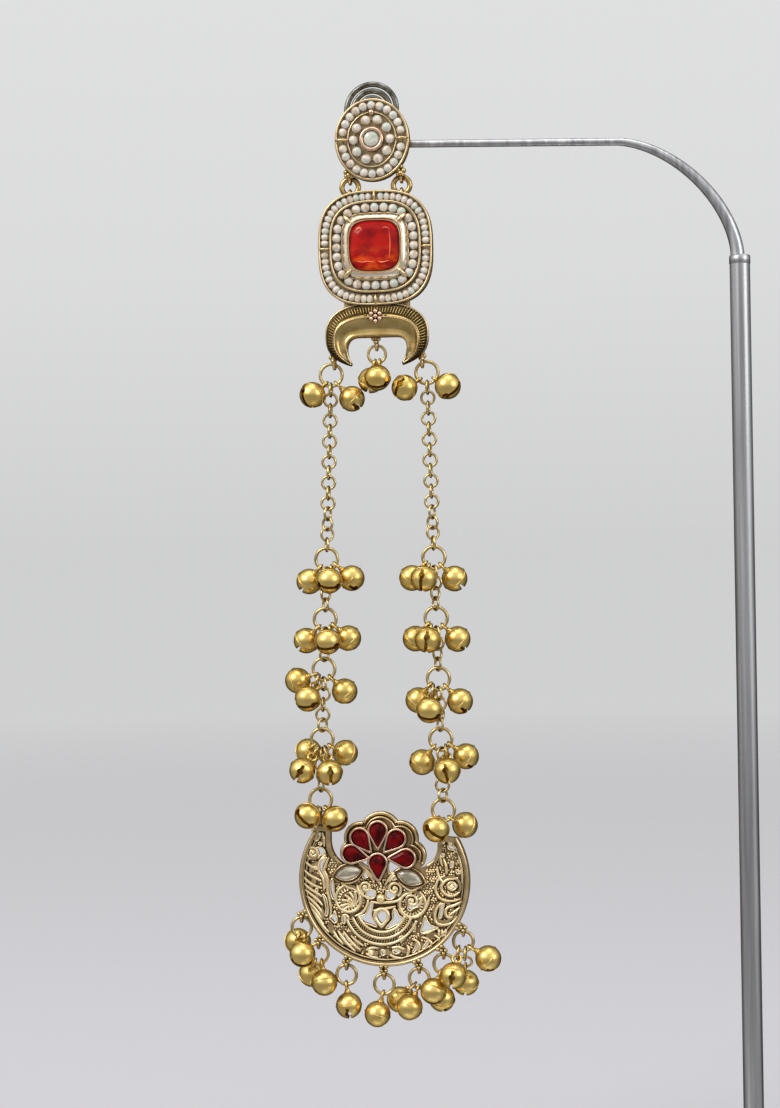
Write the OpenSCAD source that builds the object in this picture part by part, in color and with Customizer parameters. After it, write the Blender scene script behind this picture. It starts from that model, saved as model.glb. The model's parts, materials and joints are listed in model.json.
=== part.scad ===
/* [Stand] */
// Diameter of the round base
base_d = 124; // [118:1:140]
// Thickness of the base
base_h = 4; // [3:0.5:6]
// Distance from the base's middle to the post, to the right
post_x = 48.7; // [47:0.5:51]
// Diameter of the post
post_d = 4.5; // [4.4:0.1:6]
// Height of the post's top end
post_top = 217; // [214:1:218]
// Diameter of the bent rod where it enters the post
rod_d = 3.1; // [2.6:0.1:3.1]
// Diameter of the rod along its level arm
arm_d = 1.7; // [1.3:0.05:1.8]
// Diameter of the rod in its coil
coil_d = 1.3; // [1.1:0.02:1.34]
// Radius of the rod's bend above the post
bend_r = 26.5; // [22:0.5:30]
// Height of the arm above the post's top end
arm_rise = 26.4; // [26:0.1:27]
// Radius of the rod's middle line at the coil's eye
eye_r = 1.5; // [1.4:0.05:1.6]
// Radius that each turn of the coil adds
coil_pitch = 1.52; // [1.45:0.01:1.6]

/* [Stud] */
// Distance from the base's middle to the earring, to the left
ear_x = 33; // [30:1:36]
// Height of the coil's eye, which holds the ear post
eye_z = 253.1; // [252:0.1:254]
// Height of the stud's middle
stud_z = 245.7; // [245.3:0.1:246.2]
// Half width of the stud
stud_a = 8.5; // [8.2:0.1:8.7]
// Half height of the stud
stud_b = 9.3; // [9:0.1:9.6]
// Number of places on the outer ring of pearls, two of them taken by tie straps
stud_outer_n = 24; // [20:2:24]
// Number of pearls on the inner ring
stud_inner_n = 10; // [8:1:10]

/* [Block] */
// Height of the cushion-shaped block's middle
block_z = 221.2; // [221:0.1:221.6]
// Half size of the block
block_a = 13; // [12.8:0.1:13.2]
// Number of pearls on the block's inner ring
block_inner_n = 28; // [24:1:28]
// Half size of the red stone
red_a = 5.7; // [5.4:0.1:5.8]

/* [Horn] */
// Height of the horned crescent's widest line
horn_z = 201.3; // [201:0.1:201.6]
// Half width of the crescent
horn_a = 11.7; // [11.5:0.1:12]
// Rise of the crescent above its widest line
horn_b = 7.5; // [7.4:0.1:7.6]

/* [Strings] */
// Middle radius of the rings that carry the bells
ring_r = 2.525; // [2.5:0.025:2.6]
// Middle radius of the chain's links
link_r = 1.475; // [1.45:0.025:1.5]
// Outer radius of a bell
bell_r = 2.95; // [2.8:0.05:2.95]

/* [Pendant] */
// Height of the pendant disc's middle
pendant_z = 78.1; // [77:0.1:79]
// Outer radius of the pendant
pendant_r = 19.5; // [19:0.1:20]

/* [Hidden] */

// Smoothness of the round forms
fine = 48;
small = 24;

// The stand's own steps
base_edge = 0.6;
post_sink = 2.5;
socket_r = 0.1 + post_d / 2;
rod_offset = 0.45;
rod_sink = 12;
rod_x = post_x - rod_offset;
bend_power = 1.7;
rod_sides = 12;
turn_steps = 26;
bend_steps = 16;
coil_turns = 3.25;
coil_flare = 1.5;
flare_turn = 0.25;

// Depths are measured from the plane in which the rings and chains hang
hang_y = -0.4;
gap = 0.1;
// How far walls are rooted in the floor they stand on, and how far a cutter runs past a face
root = 0.3;
past = 1;

// Stud, from back to front
stud_back = -0.5;
stud_floor = -1.5;
stud_front = -2.7;
stud_wall = 0.55;
stud_fence = [5.5, 6.15];
fence_w = 0.3;
stud_pearl_r = 0.875;
stud_pearl_path = [6.8, 7.75];
stud_inner_r = 1;
stud_inner_path = [4.15, 4.6];
stud_bezel_r = 2.7;
stud_stone_r = 1.9;
stud_bezel_rise = 0.6;
stud_granule_r = 0.65;
stud_tie = [0.9, 0.24, 1.1];
thread_r = 0.14;
drill_r = 0.34;
ear_post_r = 0.4;
ear_post_end = 9.4;
clutch = [2.6, 4.2];
clutch_r = [2.4, 2];

// The two hinge loops and the jump rings in them
hinge_x = 5.9;
hinge_z = 237.4;
hinge_eye_r = 1.12;
jump_r = 1.9;
jump_wire = 0.56;
// How far the drop's frames sit to the right of the stud's middle
drop_x = 0.4;
eyelet_r = 0.95;
eyelet_wire = 0.36;
block_eye_z = hinge_z - 2 * jump_r;
// Stems that hold loops behind a frame: radius, lower end and upper end from the loop's middle
stem_low = 0.7;
stud_stem = [0.5, 3.4];
horn_stem = [0.75, 3.6];
mid_stem = [0.6, 3.2];

// Block, from back to front
block_back = -0.7;
block_floor = -1.7;
block_front = -3.3;
block_wall = 0.4;
block_power = 2.9;
block_fence = 10.2;
// How far the fence and all inside it sit above the block's middle
block_lift = 0.3;
block_fence_w = 0.5;
block_string = 11.66;
block_string_r = 0.75;
block_inner_r = 1;
block_inner_path = 8.82;
bezel_step = 7.3;
bezel_step_rise = 1.1;
bezel_wall = 6.5;
bezel_wall_rise = 0.8;
bezel_power = 4;
claw_place = 5.3;
claw_r = 0.95;
claw_rise = 1;
block_tie = [1.15, 0.25, 1.3];
red_power = 3.4;

// Horn, from back to front
horn_front = -2.3;
horn_crown = -2.9;
horn_inset = 0.7;
horn_low = [[0, -3.8], [9.4, -5.4], [5.7, -6.5]];
horn_arch_low = [[4.4, -0.25], [6.9, -0.25], [7.5, -2.9], [6, -6.1], [5.4, -9]];
horn_bar = [6.7, 1.6];
horn_bar_reach = [4, 10.1];
flower_z = 4.3;
flower_r = 1;
flower_sink = 0.15;
granule_r = [0.5, 0.46];
horn_loops = [[-9.8, 195.3], [10.35, 195.2]];
horn_mid_loop = 199.35;
mid_ring_r = 2;
mid_ring_wire = 0.28;
lower_ring_r = 2.25;
lower_ring_wire = 0.33;

// Strings
ring_wire = 0.325;
link_wire = 0.25;
link_pitch = 2 * (link_r - link_wire) - gap;
ring_step = ring_r - ring_wire + link_r - link_wire - gap;
bell_wall = 0.35;
bell_slit = 0.75;
bell_loop_r = 0.95;
bell_loop_wire = 0.28;
bell_loop_z = 4.5;
slack = 0.16;

// Links between the rings of a string, counted downward
left_links = [16, 4, 3, 5, 4];
right_links = [16, 4, 4, 4, 5];
left_top = [-10.6, 192.9];
right_top = [11.35, 192.9];
left_tilt = 2.4;
right_tilt = -1.23;
// Turn of each link about its string in each stretch, where it isn't a quarter turn each
left_turns = [[], [60, 0, 60, -60], [60, 0, 60], [-60, 0, 90, 0, 60], [90, 0, 60, -60]];
right_turns = [[], [-60, 0, 60, -60], [-60, 0, 60, -60], [-60, 0, 60, -60], [60, 0, 90, 0, 60]];

// Columns of the bell tables: ring, place round the ring, sideways lean, forward lean
// (negative to the front), turn of the slit, extra links above the bell
left_bells = [
    [0, -32, -42, -42, 30, 0], [0, 36, 46, 16, 80, 0],
    [1, -38, -40, 26, 90, 0], [1, 28, 4, -57, 10, 0], [1, 62, 50, 10, 60, 0],
    [2, -40, -43, 24, 90, 0], [2, 29, 4, -56, 0, 0], [2, 58, 46, 28, 40, 0],
    [3, -60, -68, 20, 20, 0], [3, -29, -18, -50, 70, 1], [3, 42, 43, 24, 30, 0],
    [4, -24, -30, -43, 0, 1], [4, 24, 20, -45, 20, 1], [4, 56, 58, 46, 60, 0],
    [4, -54, -46, 58, 50, 0], [5, -28, -44, -72, 0, 0], [5, 40, 52, -50, 30, 0]];
right_bells = [
    [0, -50, -58, -44, 60, 0], [0, 50, 58, -40, 20, 0],
    [1, -58, -46, 18, 40, 0], [1, -30, -16, -57, 80, 0], [1, 42, 40, 32, 90, 0],
    [2, -56, -44, 22, 20, 0], [2, -29, -8, -57, 90, 0], [2, 42, 42, 28, 80, 0],
    [3, -56, -40, 18, 0, 0], [3, -29, -6, -50, 90, 1], [3, 42, 40, 16, 80, 0],
    [4, -44, -40, 18, 45, 0], [4, 29, 8, -50, 0, 1], [4, 60, 48, 22, 70, 0],
    [5, -26, -6, -72, 30, 0], [5, 42, 54, 44, 0, 0]];
centre_hung = [[0, 18, -2, -40, 0, 0], [0, -18, -18, 34, 90, 0]];

// Pendant, from back to front
pendant_back = 0.7;
pendant_front = -0.5;
pendant_rim = -1.5;
pendant_relief = -1.2;
rim_w = 1.1;
pendant_turn = 1.2;
pendant_x = -0.2;
setting_front = -2.2;
ruby_front = -2.9;
ruby_floor = -1;
petal_size = [3.65, 5.7];
frame_w = 0.5;
// Columns: across and up to the stone's middle, direction of its round end
petals = [[-1.35, 10.25, 91], [-4.85, 8.85, 129], [2.15, 8.8, 48], [-6.35, 5.7, 168],
          [4.0, 5.2, 1], [-1.3, 2.95, 93]];
// Columns: across and up to the stone's middle, tilt
marquises = [[-8.1, 1.5, 15.5], [5.95, 0.8, -19]];
marquise_size = [5.7, 2.9];
// Columns: across and up to the lobe's middle, its radius
fan_lobes = [[-0.9, 10.9, 4.6], [-5.5, 9.4, 3.7], [3.6, 9.4, 4.1], [-7.1, 6, 3],
             [5.9, 5.6, 3.6], [-0.9, 6, 5.5]];
// Pierced openings, each as a few points that a smooth line runs through
openings = [
    [[-16, 8.9], [-15.6, 9.6], [-15, 10.5], [-14.6, 10.1], [-15.1, 9], [-15.5, 8.6]],
    [[-15.1, 8], [-14.6, 8.3], [-14.3, 7.9], [-14.8, 7.6]],
    [[-15.6, 6.9], [-14.4, 7.1], [-13.7, 6.3], [-13.7, 5.5], [-14.7, 5.3], [-15.2, 4.6],
     [-15.1, 5.8]],
    [[-13.2, 4.9], [-14, 3.3], [-14.2, 2], [-13.6, 0.7], [-13.3, -0.3], [-13.4, -1.8],
     [-13.8, -2], [-14, -0.3], [-14.4, 0.8], [-14.9, 1.8], [-15, 2.8], [-14.4, 4.3]],
    [[-11.9, 0.1], [-12.3, -0.9], [-12.4, -2.3], [-12, -4.2], [-11.5, -4.7], [-11.3, -4.1],
     [-11.5, -2.8], [-11.6, -1.2]],
    [[-5.7, 4.2], [-4, 4.8], [-3.3, 4.4], [-3.1, 3.4], [-2.7, 2.1], [-4.4, 3.2]],
    [[-4.8, 1.4], [-4.1, 1.6], [-3.6, 0.7], [-4.8, 0.4]],
    [[-3.4, -2.3], [-2.2, -2.4], [-1.9, -3.3], [-2.3, -4], [-3.5, -4.3], [-4.2, -3.7]],
    [[0.5, -2.6], [1.3, -2.2], [2.3, -2.6], [2.5, -3.6], [1.5, -4.3], [0.4, -4.1]],
    [[1.2, 4.3], [2.1, 4.2], [3.9, 3.3], [2.9, 2.5], [1.3, 1.5], [0.9, 2.6]],
    [[1.4, 1.1], [2.7, 0.9], [3, 0.4], [1.9, 0.1]],
    [[-3, -5], [-2.5, -5.1], [-2.7, -6.6], [-2.8, -8.1], [-2.2, -9.3], [-1.6, -10.6],
     [-3.4, -10.1], [-4.8, -9.6], [-5.7, -8.5], [-4.3, -7.8], [-3.6, -6.5]],
    [[-1.7, -8.2], [-0.9, -7.2], [0.3, -7], [0.8, -7.9], [0.5, -8.9], [-0.3, -9.9],
     [-1.1, -9.5]],
    [[2.4, -6.4], [2.9, -6.9], [3.5, -7.9], [4.5, -8.6], [4.1, -9.5], [2.7, -10.1],
     [1.2, -10.9], [0.4, -10.9], [1.1, -10], [2, -8.8], [2, -7.4]],
    [[-12.5, -8.9], [-11.6, -8.1], [-11.3, -7.3], [-11, -8.2], [-10.7, -9.5], [-11.4, -10],
     [-12, -9.4]],
    [[-9.4, -8.6], [-9, -8.4], [-8.7, -9.2], [-9, -10], [-9.5, -9.8]],
    [[-14.1, -3.5], [-13.4, -4.2], [-13, -5.5], [-12.8, -7.1], [-13, -8.3], [-13.5, -8.3],
     [-13.3, -6.6], [-13.6, -5.1]],
    [[-9.3, -12.3], [-8.9, -12.6], [-8, -13.8], [-6.9, -14.5], [-7, -14.9], [-8.3, -14.5],
     [-9.1, -13.4]],
    [[9.4, -7.8], [9.9, -9], [10.8, -10], [12.4, -10.5], [10.6, -11.1], [8.5, -11.6],
     [8.8, -10]],
    [[13.5, -11.6], [14.1, -11.1], [14.4, -11.6], [13.8, -12.2]],
    [[12.9, -5.2], [13.7, -5], [13.5, -6], [13.4, -7.3], [12.9, -8.3], [12.5, -7.9],
     [12.8, -6.5]],
    [[5.7, -5.6], [6.2, -5.1], [8, -5.3], [7.7, -5.8], [6.7, -6.2], [6.1, -6.8],
     [5.4, -6.4]],
    [[6.7, -9.9], [7.2, -10.1], [7.1, -11.4], [6.6, -11.2]],
    [[2.9, -10.9], [3.4, -11.2], [3.1, -12.1], [2.6, -11.8]],
    [[14.5, 8.2], [15.6, 8.1], [16.5, 7.5], [16.4, 6.7], [15.8, 7.2], [14.7, 7.4]],
    [[12.8, 6.4], [13.7, 6.2], [13.5, 5.6], [13, 5.7]],
    [[15.2, 4.5], [15.8, 4.5], [15.7, 3.4], [15.1, 3.3]],
    [[16.4, 2.7], [17.2, 2.6], [17.4, 2], [16.6, 1.9]],
    [[14.9, -1.3], [15.5, -0.6], [16.6, -0.7], [16.3, -1.5], [15.3, -1.9]],
    [[7.7, -13.8], [8.1, -14.1], [7.6, -15.4], [6.8, -16.3], [6.6, -16], [7.2, -14.9]],
    [[10, -13.4], [10.2, -14], [9.5, -15], [8.8, -15.4], [8.9, -14.9], [9.4, -14.2]],
    [[2, -15.9], [3.3, -15.7], [3.7, -16.2], [2.6, -16.6]],
    [[-0.6, -16], [0.1, -15.8], [0.3, -16.8], [-0.4, -17]],
    [[-15.8, -2.5], [-15.4, -2.2], [-15.2, -2.7], [-15.5, -3]],
    [[-16.1, 2.5], [-15.7, 2.8], [-15.5, 2.3], [-15.8, 2]]];
smooth_steps = 3;
// Columns: across and up to the scroll's middle, radius, thickness
scrolls = [[-4.2, -1.7, 1.4, 0.5], [2.3, -1.9, 1.7, 0.5], [-8, -4.5, 3.3, 0.7],
           [6.4, -5.3, 3.3, 0.7], [-16.4, 5.9, 1.6, 0.6], [15.2, -1, 2.5, 0.6],
           [13.6, -6.8, 2.5, 0.6], [-8, -4.5, 1.7, 0.5], [6.4, -4.6, 1.6, 0.5]];
bowl = [-0.5, -6];
bowl_rings = [6.0, 7.4, 8.8];
bowl_reach = [202, 338];
bowl_w = 0.6;
bowl_rise = 0.3;
leaf_n = 14;
leaf_reach = [158, 325];
leaf_path = 16.4;
leaf_size = [3.2, 1.3];
leaf_turn = 60;
bead = [-0.75, -0.95, -4.05];
bead_r = 1;
drop_frame = [-0.5, -8.4];
drop_outer = [3.9, 4.8];
drop_inner = [2.6, 3.2];
// The mouth's edge: half width at its top, height of its floor
mouth_w = 12.3;
mouth_low = 1.2;
// Heights where the two horns end, at the far left, the middle and the far right
horn_ends = [12.7, 11.3, 8.9];
// Loops under the rim: distance out of it and down, angle round it
loop_reach = 1.4;
loop_sink = 0.6;
loop_angles = [204, 223.5, 245.5, 270, 292.5, 310.5, 329.5];
// Stem of a loop: radius, inner end and outer end; its start above the loop's middle
loop_stem = [0.45, -0.3, 2.3];
loop_stem_z = 1.1;
tip_wire = 0.3;
tip_stem = [0.75, -4.6, -0.7];
// Bells on the rings in those loops
lower_hung = [
    [0, -20, -26, 64, 0, 0], [0, 20, 0, -42, 10, 0],
    [1, -24, -20, 42, 40, 0], [1, 22, 12, -26, 20, 0],
    [2, 0, 8, -8, 90, 0], [3, -8, -14, -6, 0, 0],
    [4, -38, -42, 38, 90, 1], [4, -6, -23, -20, 0, 0],
    [5, -22, -18, -36, 0, 0], [5, 10, -10, 24, 30, 1],
    [6, -28, -8, -44, 0, 1], [6, 52, 56, 12, 50, 0], [6, 10, -2, 30, 90, 2]];

function oval(a, b, power = 2, steps = 72) =
    [for (i = [0 : steps - 1]) let (t = 360 * i / steps, c = cos(t), s = sin(t))
        [a * sign(c) * pow(abs(c), 2 / power), b * sign(s) * pow(abs(s), 2 / power)]];

function side(p, i) = norm(p[(i + 1) % len(p)] - p[i]);
function run(p, n) = n == 0 ? 0 : side(p, n - 1) + run(p, n - 1);

// The point that lies the given share of the way round a closed outline
function along(p, share) =
    let (s = share * run(p, len(p)),
         xs = [for (i = [0 : len(p)]) [run(p, i), p[i % len(p)].x]],
         ys = [for (i = [0 : len(p)]) [run(p, i), p[i % len(p)].y]])
    [lookup(s, xs), lookup(s, ys)];

function bezier(a, b, c, d, steps = 10) =
    [for (i = [0 : steps]) let (t = i / steps, u = 1 - t)
        u * u * u * a + 3 * u * u * t * b + 3 * u * t * t * c + t * t * t * d];

function mirrored(p) = [for (i = [len(p) - 1 : -1 : 0]) [-p[i].x, p[i].y]];

// A smooth closed line through the given points
function smooth(p) = let (n = len(p))
    [for (i = [0 : n - 1]) for (k = [0 : smooth_steps - 1]) let (
         t = k / smooth_steps, a = p[(i + n - 1) % n], b = p[i], c = p[(i + 1) % n],
         d = p[(i + 2) % n])
     (2 * b + t * (c - a) + t * t * (2 * a - 5 * b + 4 * c - d)
         + t * t * t * (3 * b - a - 3 * c + d)) / 2];

// A drop outline with its round end to the right and its middle at the origin
function drop(w, l, steps = 14) =
    let (r = w / 2, c = l / 2 - r, tilt = acos(r / (c + l / 2)))
    concat([for (i = [0 : steps]) let (t = -180 + tilt + (360 - 2 * tilt) * i / steps)
                [c + r * cos(t), r * sin(t)]], [[-l / 2, 0]]);

// A marquise outline, pointed at its left and right ends
function marquise(l, w, steps = 8) =
    let (r = (l * l / 4 + w * w / 4) / w, half = asin(l / 2 / r))
    concat([for (i = [0 : steps]) let (t = 90 - half + 2 * half * i / steps)
                [r * cos(t), r * sin(t) - r + w / 2]],
           [for (i = [1 : steps - 1]) let (t = -90 - half + 2 * half * i / steps)
                [r * cos(t), r * sin(t) + r - w / 2]]);

// Stands a flat outline up and gives it depth, from its back to its front
module plate(back, front) {
    translate([0, back, 0]) rotate([90, 0, 0]) linear_extrude(back - front) children();
}

module wire_ring(r, wire) {
    rotate([90, 0, 0]) rotate_extrude($fn = fine) translate([r, 0]) circle(wire, $fn = small);
}

module eyelet(r = eyelet_r, wire = eyelet_wire) {
    rotate([0, 0, 90]) wire_ring(r, wire);
}

module stem(r, low, high, y) {
    translate([0, y, low]) cylinder(high - low, r, r, $fn = small);
}

// A strap that arches over a string of pearls, from a foot on each side of it
module tie_strap(reach, wire, foot) {
    rotate([180, 0, 0]) rotate_extrude(angle = 180, $fn = fine)
        translate([reach, 0]) circle(wire, $fn = small);
    for (s = [-1, 1]) translate([s * reach, 0, 0]) rotate([-90, 0, 0])
        cylinder(foot, wire, wire, $fn = small);
}

// A pearl with its hole along the local Z axis
module pearl(r) {
    rotate_extrude($fn = fine) intersection() {
        circle(r, $fn = fine);
        translate([drill_r, -r]) square([r, 2 * r]);
    }
}

module drilled_pearls(path, n, r, skip = []) {
    for (i = [for (k = [0 : n - 1]) if (len(search(k, skip)) == 0) k]) {
        p = along(path, i / n);
        q = along(path, (i + 0.1) / n);
        translate([p.x, 0, p.y]) rotate([0, 90 - atan2(q.y - p.y, q.x - p.x), 0]) pearl(r);
    }
}

// A closed tube round an upright outline
module hoop(path, r, sides = 6, steps = 64) {
    centre = [for (i = [0 : steps - 1]) along(path, i / steps)];
    points = [for (i = [0 : steps - 1]) let (
                  p = centre[i],
                  d = centre[(i + 1) % steps] - centre[(i + steps - 1) % steps],
                  n = [d.y, -d.x] / norm(d))
              for (k = [0 : sides - 1]) let (a = 360 * k / sides)
                  [p.x + r * cos(a) * n.x, -r * sin(a), p.y + r * cos(a) * n.y]];
    faces = [for (i = [0 : steps - 1]) for (k = [0 : sides - 1]) let (
                 j = (i + 1) % steps, m = (k + 1) % sides)
             each [[i * sides + k, i * sides + m, j * sides + m],
                   [i * sides + k, j * sides + m, j * sides + k]]];
    polyhedron(points, faces);
}

// A cut stone built up from one outline: each level holds its scale and its depth
module cut_stone(outline, levels) {
    n = len(outline);
    top = len(levels) - 1;
    points = [for (l = levels) for (p = outline) [p.x * l[0], l[1], p.y * l[0]]];
    faces = concat(
        [[for (i = [0 : n - 1]) i]],
        [for (l = [0 : top - 1]) for (i = [0 : n - 1]) let (j = (i + 1) % n)
            each [[l * n + i, l * n + n + i, l * n + n + j], [l * n + i, l * n + n + j, l * n + j]]],
        [[for (i = [n - 1 : -1 : 0]) top * n + i]]);
    polyhedron(points, faces);
}

module stand_base() color("silver") {
    difference() {
        rotate_extrude($fn = 2 * fine) polygon([
            [0, 0], [base_d / 2, 0], [base_d / 2, base_h - base_edge],
            [base_d / 2 - base_edge, base_h], [0, base_h]]);
        translate([post_x, 0, base_h - post_sink])
            cylinder(base_h, socket_r, socket_r, $fn = fine);
    }
}

module stand_post() color("silver") {
    low = base_h - post_sink;
    difference() {
        translate([post_x, 0, low])
            cylinder(post_top - low, post_d / 2, post_d / 2, $fn = fine);
        translate([rod_x, 0, post_top - rod_sink - past])
            cylinder(rod_sink + 2 * past, (rod_d + gap) / 2, (rod_d + gap) / 2, $fn = fine);
    }
}

// The rod's middle line: across, up and radius at each section, from the coil's eye to the post
coil_end = 270;
coil_path = [for (i = [0 : ceil(coil_turns * turn_steps)]) let (
                 t = min(i / turn_steps, coil_turns),
                 late = max(0, t - coil_turns + flare_turn) / flare_turn,
                 a = coil_end - 360 * (coil_turns - t),
                 r = eye_r + coil_pitch * t + coil_flare * late * late)
             [r * cos(a) - ear_x, r * sin(a) + eye_z, coil_d / 2]];
bend_path = [for (i = [0 : bend_steps]) let (a = 90 * (1 - i / bend_steps))
             [rod_x - bend_r + bend_r * pow(cos(a), 2 / bend_power),
              post_top + arm_rise * pow(sin(a), 2 / bend_power),
              (arm_d + (rod_d - arm_d) * i / bend_steps) / 2]];
arm_start = [for (s = [0.05]) let (a = coil_path[len(coil_path) - 1], b = bend_path[0])
             [a.x + s * (b.x - a.x), a.y + s * (b.y - a.y), arm_d / 2]];
rod_path = concat(coil_path, arm_start, bend_path, [[rod_x, post_top - rod_sink, rod_d / 2]]);

module stand_arm() color("silver") {
    n = len(rod_path);
    points = [for (i = [0 : n - 1]) let (
                  p = rod_path[i], b = rod_path[min(i + 1, n - 1)], a = rod_path[max(i - 1, 0)],
                  d = [b.x - a.x, b.y - a.y], m = [d.y, -d.x] / norm(d))
              for (k = [0 : rod_sides - 1]) let (t = 360 * k / rod_sides)
                  [p.x + p.z * cos(t) * m.x, -p.z * sin(t), p.y + p.z * cos(t) * m.y]];
    faces = concat(
        [[for (k = [rod_sides - 1 : -1 : 0]) k]],
        [for (i = [0 : n - 2]) for (k = [0 : rod_sides - 1]) let (
             m = (k + 1) % rod_sides, a = i * rod_sides, b = a + rod_sides)
         each [[a + k, a + m, b + m], [a + k, b + m, b + k]]],
        [[for (k = [0 : rod_sides - 1]) (n - 1) * rod_sides + k]]);
    polyhedron(points, faces);
}

// Places an upright shape at the earring, at a height and a depth
module at_ear(z = 0, y = 0) {
    translate([-ear_x, hang_y + y, z]) children();
}

module stud_frame() color("goldenrod") {
    at_ear(stud_z) {
        difference() {
            plate(stud_back, stud_front) polygon(oval(stud_a, stud_b));
            plate(stud_floor, stud_front - past)
                polygon(oval(stud_a - stud_wall, stud_b - stud_wall));
        }
        plate(stud_floor + root, stud_front) difference() {
            polygon(oval(stud_fence[0] + fence_w / 2, stud_fence[1] + fence_w / 2));
            polygon(oval(stud_fence[0] - fence_w / 2, stud_fence[1] - fence_w / 2));
        }
        plate(stud_floor + root, stud_front - stud_bezel_rise) difference() {
            circle(stud_bezel_r, $fn = fine);
            circle(stud_stone_r + gap, $fn = fine);
        }
        translate([0, stud_front, stud_fence[1]]) sphere(stud_granule_r, $fn = small);
        for (s = [0, 180]) rotate([0, s, 0])
            translate([(stud_fence[0] + stud_a - stud_wall / 2) / 2, stud_floor - stud_tie[0], 0])
                tie_strap((stud_a - stud_wall / 2 - stud_fence[0]) / 2, stud_tie[1], stud_tie[2]);
        translate([0, stud_back - root, eye_z - stud_z]) rotate([-90, 0, 0])
            cylinder(ear_post_end - stud_back, ear_post_r, ear_post_r, $fn = small);
    }
    for (s = [-1, 1]) at_ear(hinge_z) translate([drop_x + s * hinge_x, 0, 0]) {
        eyelet(hinge_eye_r);
        stem(stud_stem[0], stem_low, stud_stem[1], stud_back - root);
    }
}

module ear_clutch() color("silver") {
    at_ear(eye_z, clutch[0]) rotate([-90, 0, 0]) difference() {
        cylinder(clutch[1], clutch_r[0], clutch_r[1], $fn = fine);
        translate([0, 0, -past]) cylinder(clutch[1] + 2 * past, ear_post_r + gap,
                                          ear_post_r + gap, $fn = small);
    }
}

module stud_stone() color("lightgray") {
    at_ear(stud_z) cut_stone(oval(stud_stone_r, stud_stone_r, 2, 12),
        [[0.8, stud_floor - gap], [1, stud_floor - 0.9], [1, stud_front - 0.5],
         [0.8, stud_front - 1], [0.5, stud_front - 1.25]]);
}

stud_outer_y = stud_floor - gap - stud_pearl_r;
stud_inner_y = stud_floor - gap - stud_inner_r;

module stud_outer_pearls() color("ivory") {
    at_ear(stud_z, stud_outer_y)
        drilled_pearls(oval(stud_pearl_path[0], stud_pearl_path[1]), stud_outer_n,
                       stud_pearl_r, [0, stud_outer_n / 2]);
}

module stud_outer_thread() color("gold") {
    at_ear(stud_z, stud_outer_y) hoop(oval(stud_pearl_path[0], stud_pearl_path[1]), thread_r);
}

module stud_inner_pearls() color("ivory") {
    at_ear(stud_z, stud_inner_y)
        drilled_pearls(oval(stud_inner_path[0], stud_inner_path[1]), stud_inner_n, stud_inner_r);
}

module stud_inner_thread() color("gold") {
    at_ear(stud_z, stud_inner_y) hoop(oval(stud_inner_path[0], stud_inner_path[1]), thread_r);
}

module link_ring(s) color("darkgoldenrod") {
    at_ear(hinge_z - jump_r) translate([drop_x + s * hinge_x, 0, 0])
        wire_ring(jump_r, jump_wire);
}

module link_ring_left() link_ring(-1);
module link_ring_right() link_ring(1);

// The crescent's outline, drawn in from its edge by the given inset
function horn_outer(inset) =
    let (a = horn_a - inset, b = horn_b - inset,
         top = [for (i = [0 : 16]) let (t = 90 - 90 * i / 16)
                [a * pow(cos(t), 0.8), b * pow(sin(t), 0.8)]],
         low = bezier([a, 0], [a, horn_low[0].y], horn_low[1] + inset * [-1, 1],
                      horn_low[2] + inset * [0, 1]),
         half = concat(top, [for (i = [1 : 10]) low[i]]))
    concat(half, mirrored([for (i = [1 : len(half) - 1]) half[i]]));
function horn_arch(inset) =
    let (l = horn_arch_low,
         half = concat(bezier(l[0] + inset * [0, 1], l[1] + inset * [1, 1], l[2] + inset * [1, 0],
                              l[3] + inset / 2 * [1, 0]), [l[4]]))
    concat(half, mirrored(half));

module horn(inset) {
    difference() {
        polygon(horn_outer(inset));
        polygon(horn_arch(inset));
    }
}

// Places an upright shape on the drop's frames
module at_drop(z = 0, y = 0) {
    at_ear(z, y) translate([drop_x, 0, 0]) children();
}

module block_dish() {
    at_drop(block_z) difference() {
        plate(block_back, block_front) polygon(oval(block_a, block_a, block_power, 96));
        plate(block_floor, block_front - past)
            polygon(oval(block_a - block_wall, block_a - block_wall, block_power, 96));
    }
    at_drop(block_z + block_lift) {
        plate(block_floor + root, block_front) difference() {
            polygon(oval(block_fence + block_fence_w / 2, block_fence + block_fence_w / 2,
                         block_power, 96));
            polygon(oval(block_fence - block_fence_w / 2, block_fence - block_fence_w / 2,
                         block_power, 96));
        }
        difference() {
            union() {
                plate(block_floor + root, block_floor - bezel_step_rise)
                    polygon(oval(bezel_step, bezel_step, bezel_power));
                plate(block_floor + root, block_front - bezel_wall_rise)
                    polygon(oval(bezel_wall, bezel_wall, bezel_power));
                for (x = [-1, 1]) for (z = [-1, 1]) translate(claw_place * [x, 0, z])
                    plate(block_floor + root, block_front - claw_rise)
                        circle(claw_r, $fn = small);
            }
            plate(block_floor, block_front - claw_rise - past)
                polygon(oval(red_a + gap, red_a + gap, red_power));
        }
    }
}

module horned_crescent() {
    at_drop(horn_z) {
        plate(block_back, horn_front) horn(0);
        plate(horn_front, horn_crown) horn(horn_inset);
        for (s = [-1, 1]) translate([s * horn_bar[0] - horn_bar[1] / 2, block_floor,
                                     horn_bar_reach[0]])
            cube([horn_bar[1], block_back - block_floor, horn_bar_reach[1] - horn_bar_reach[0]]);
        translate([0, horn_crown - flower_sink, flower_z]) {
            sphere(granule_r[0], $fn = small);
            for (k = [0 : 5]) rotate([0, 60 * k, 0]) translate([flower_r, 0, 0])
                sphere(granule_r[1], $fn = small);
        }
    }
}

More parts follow.
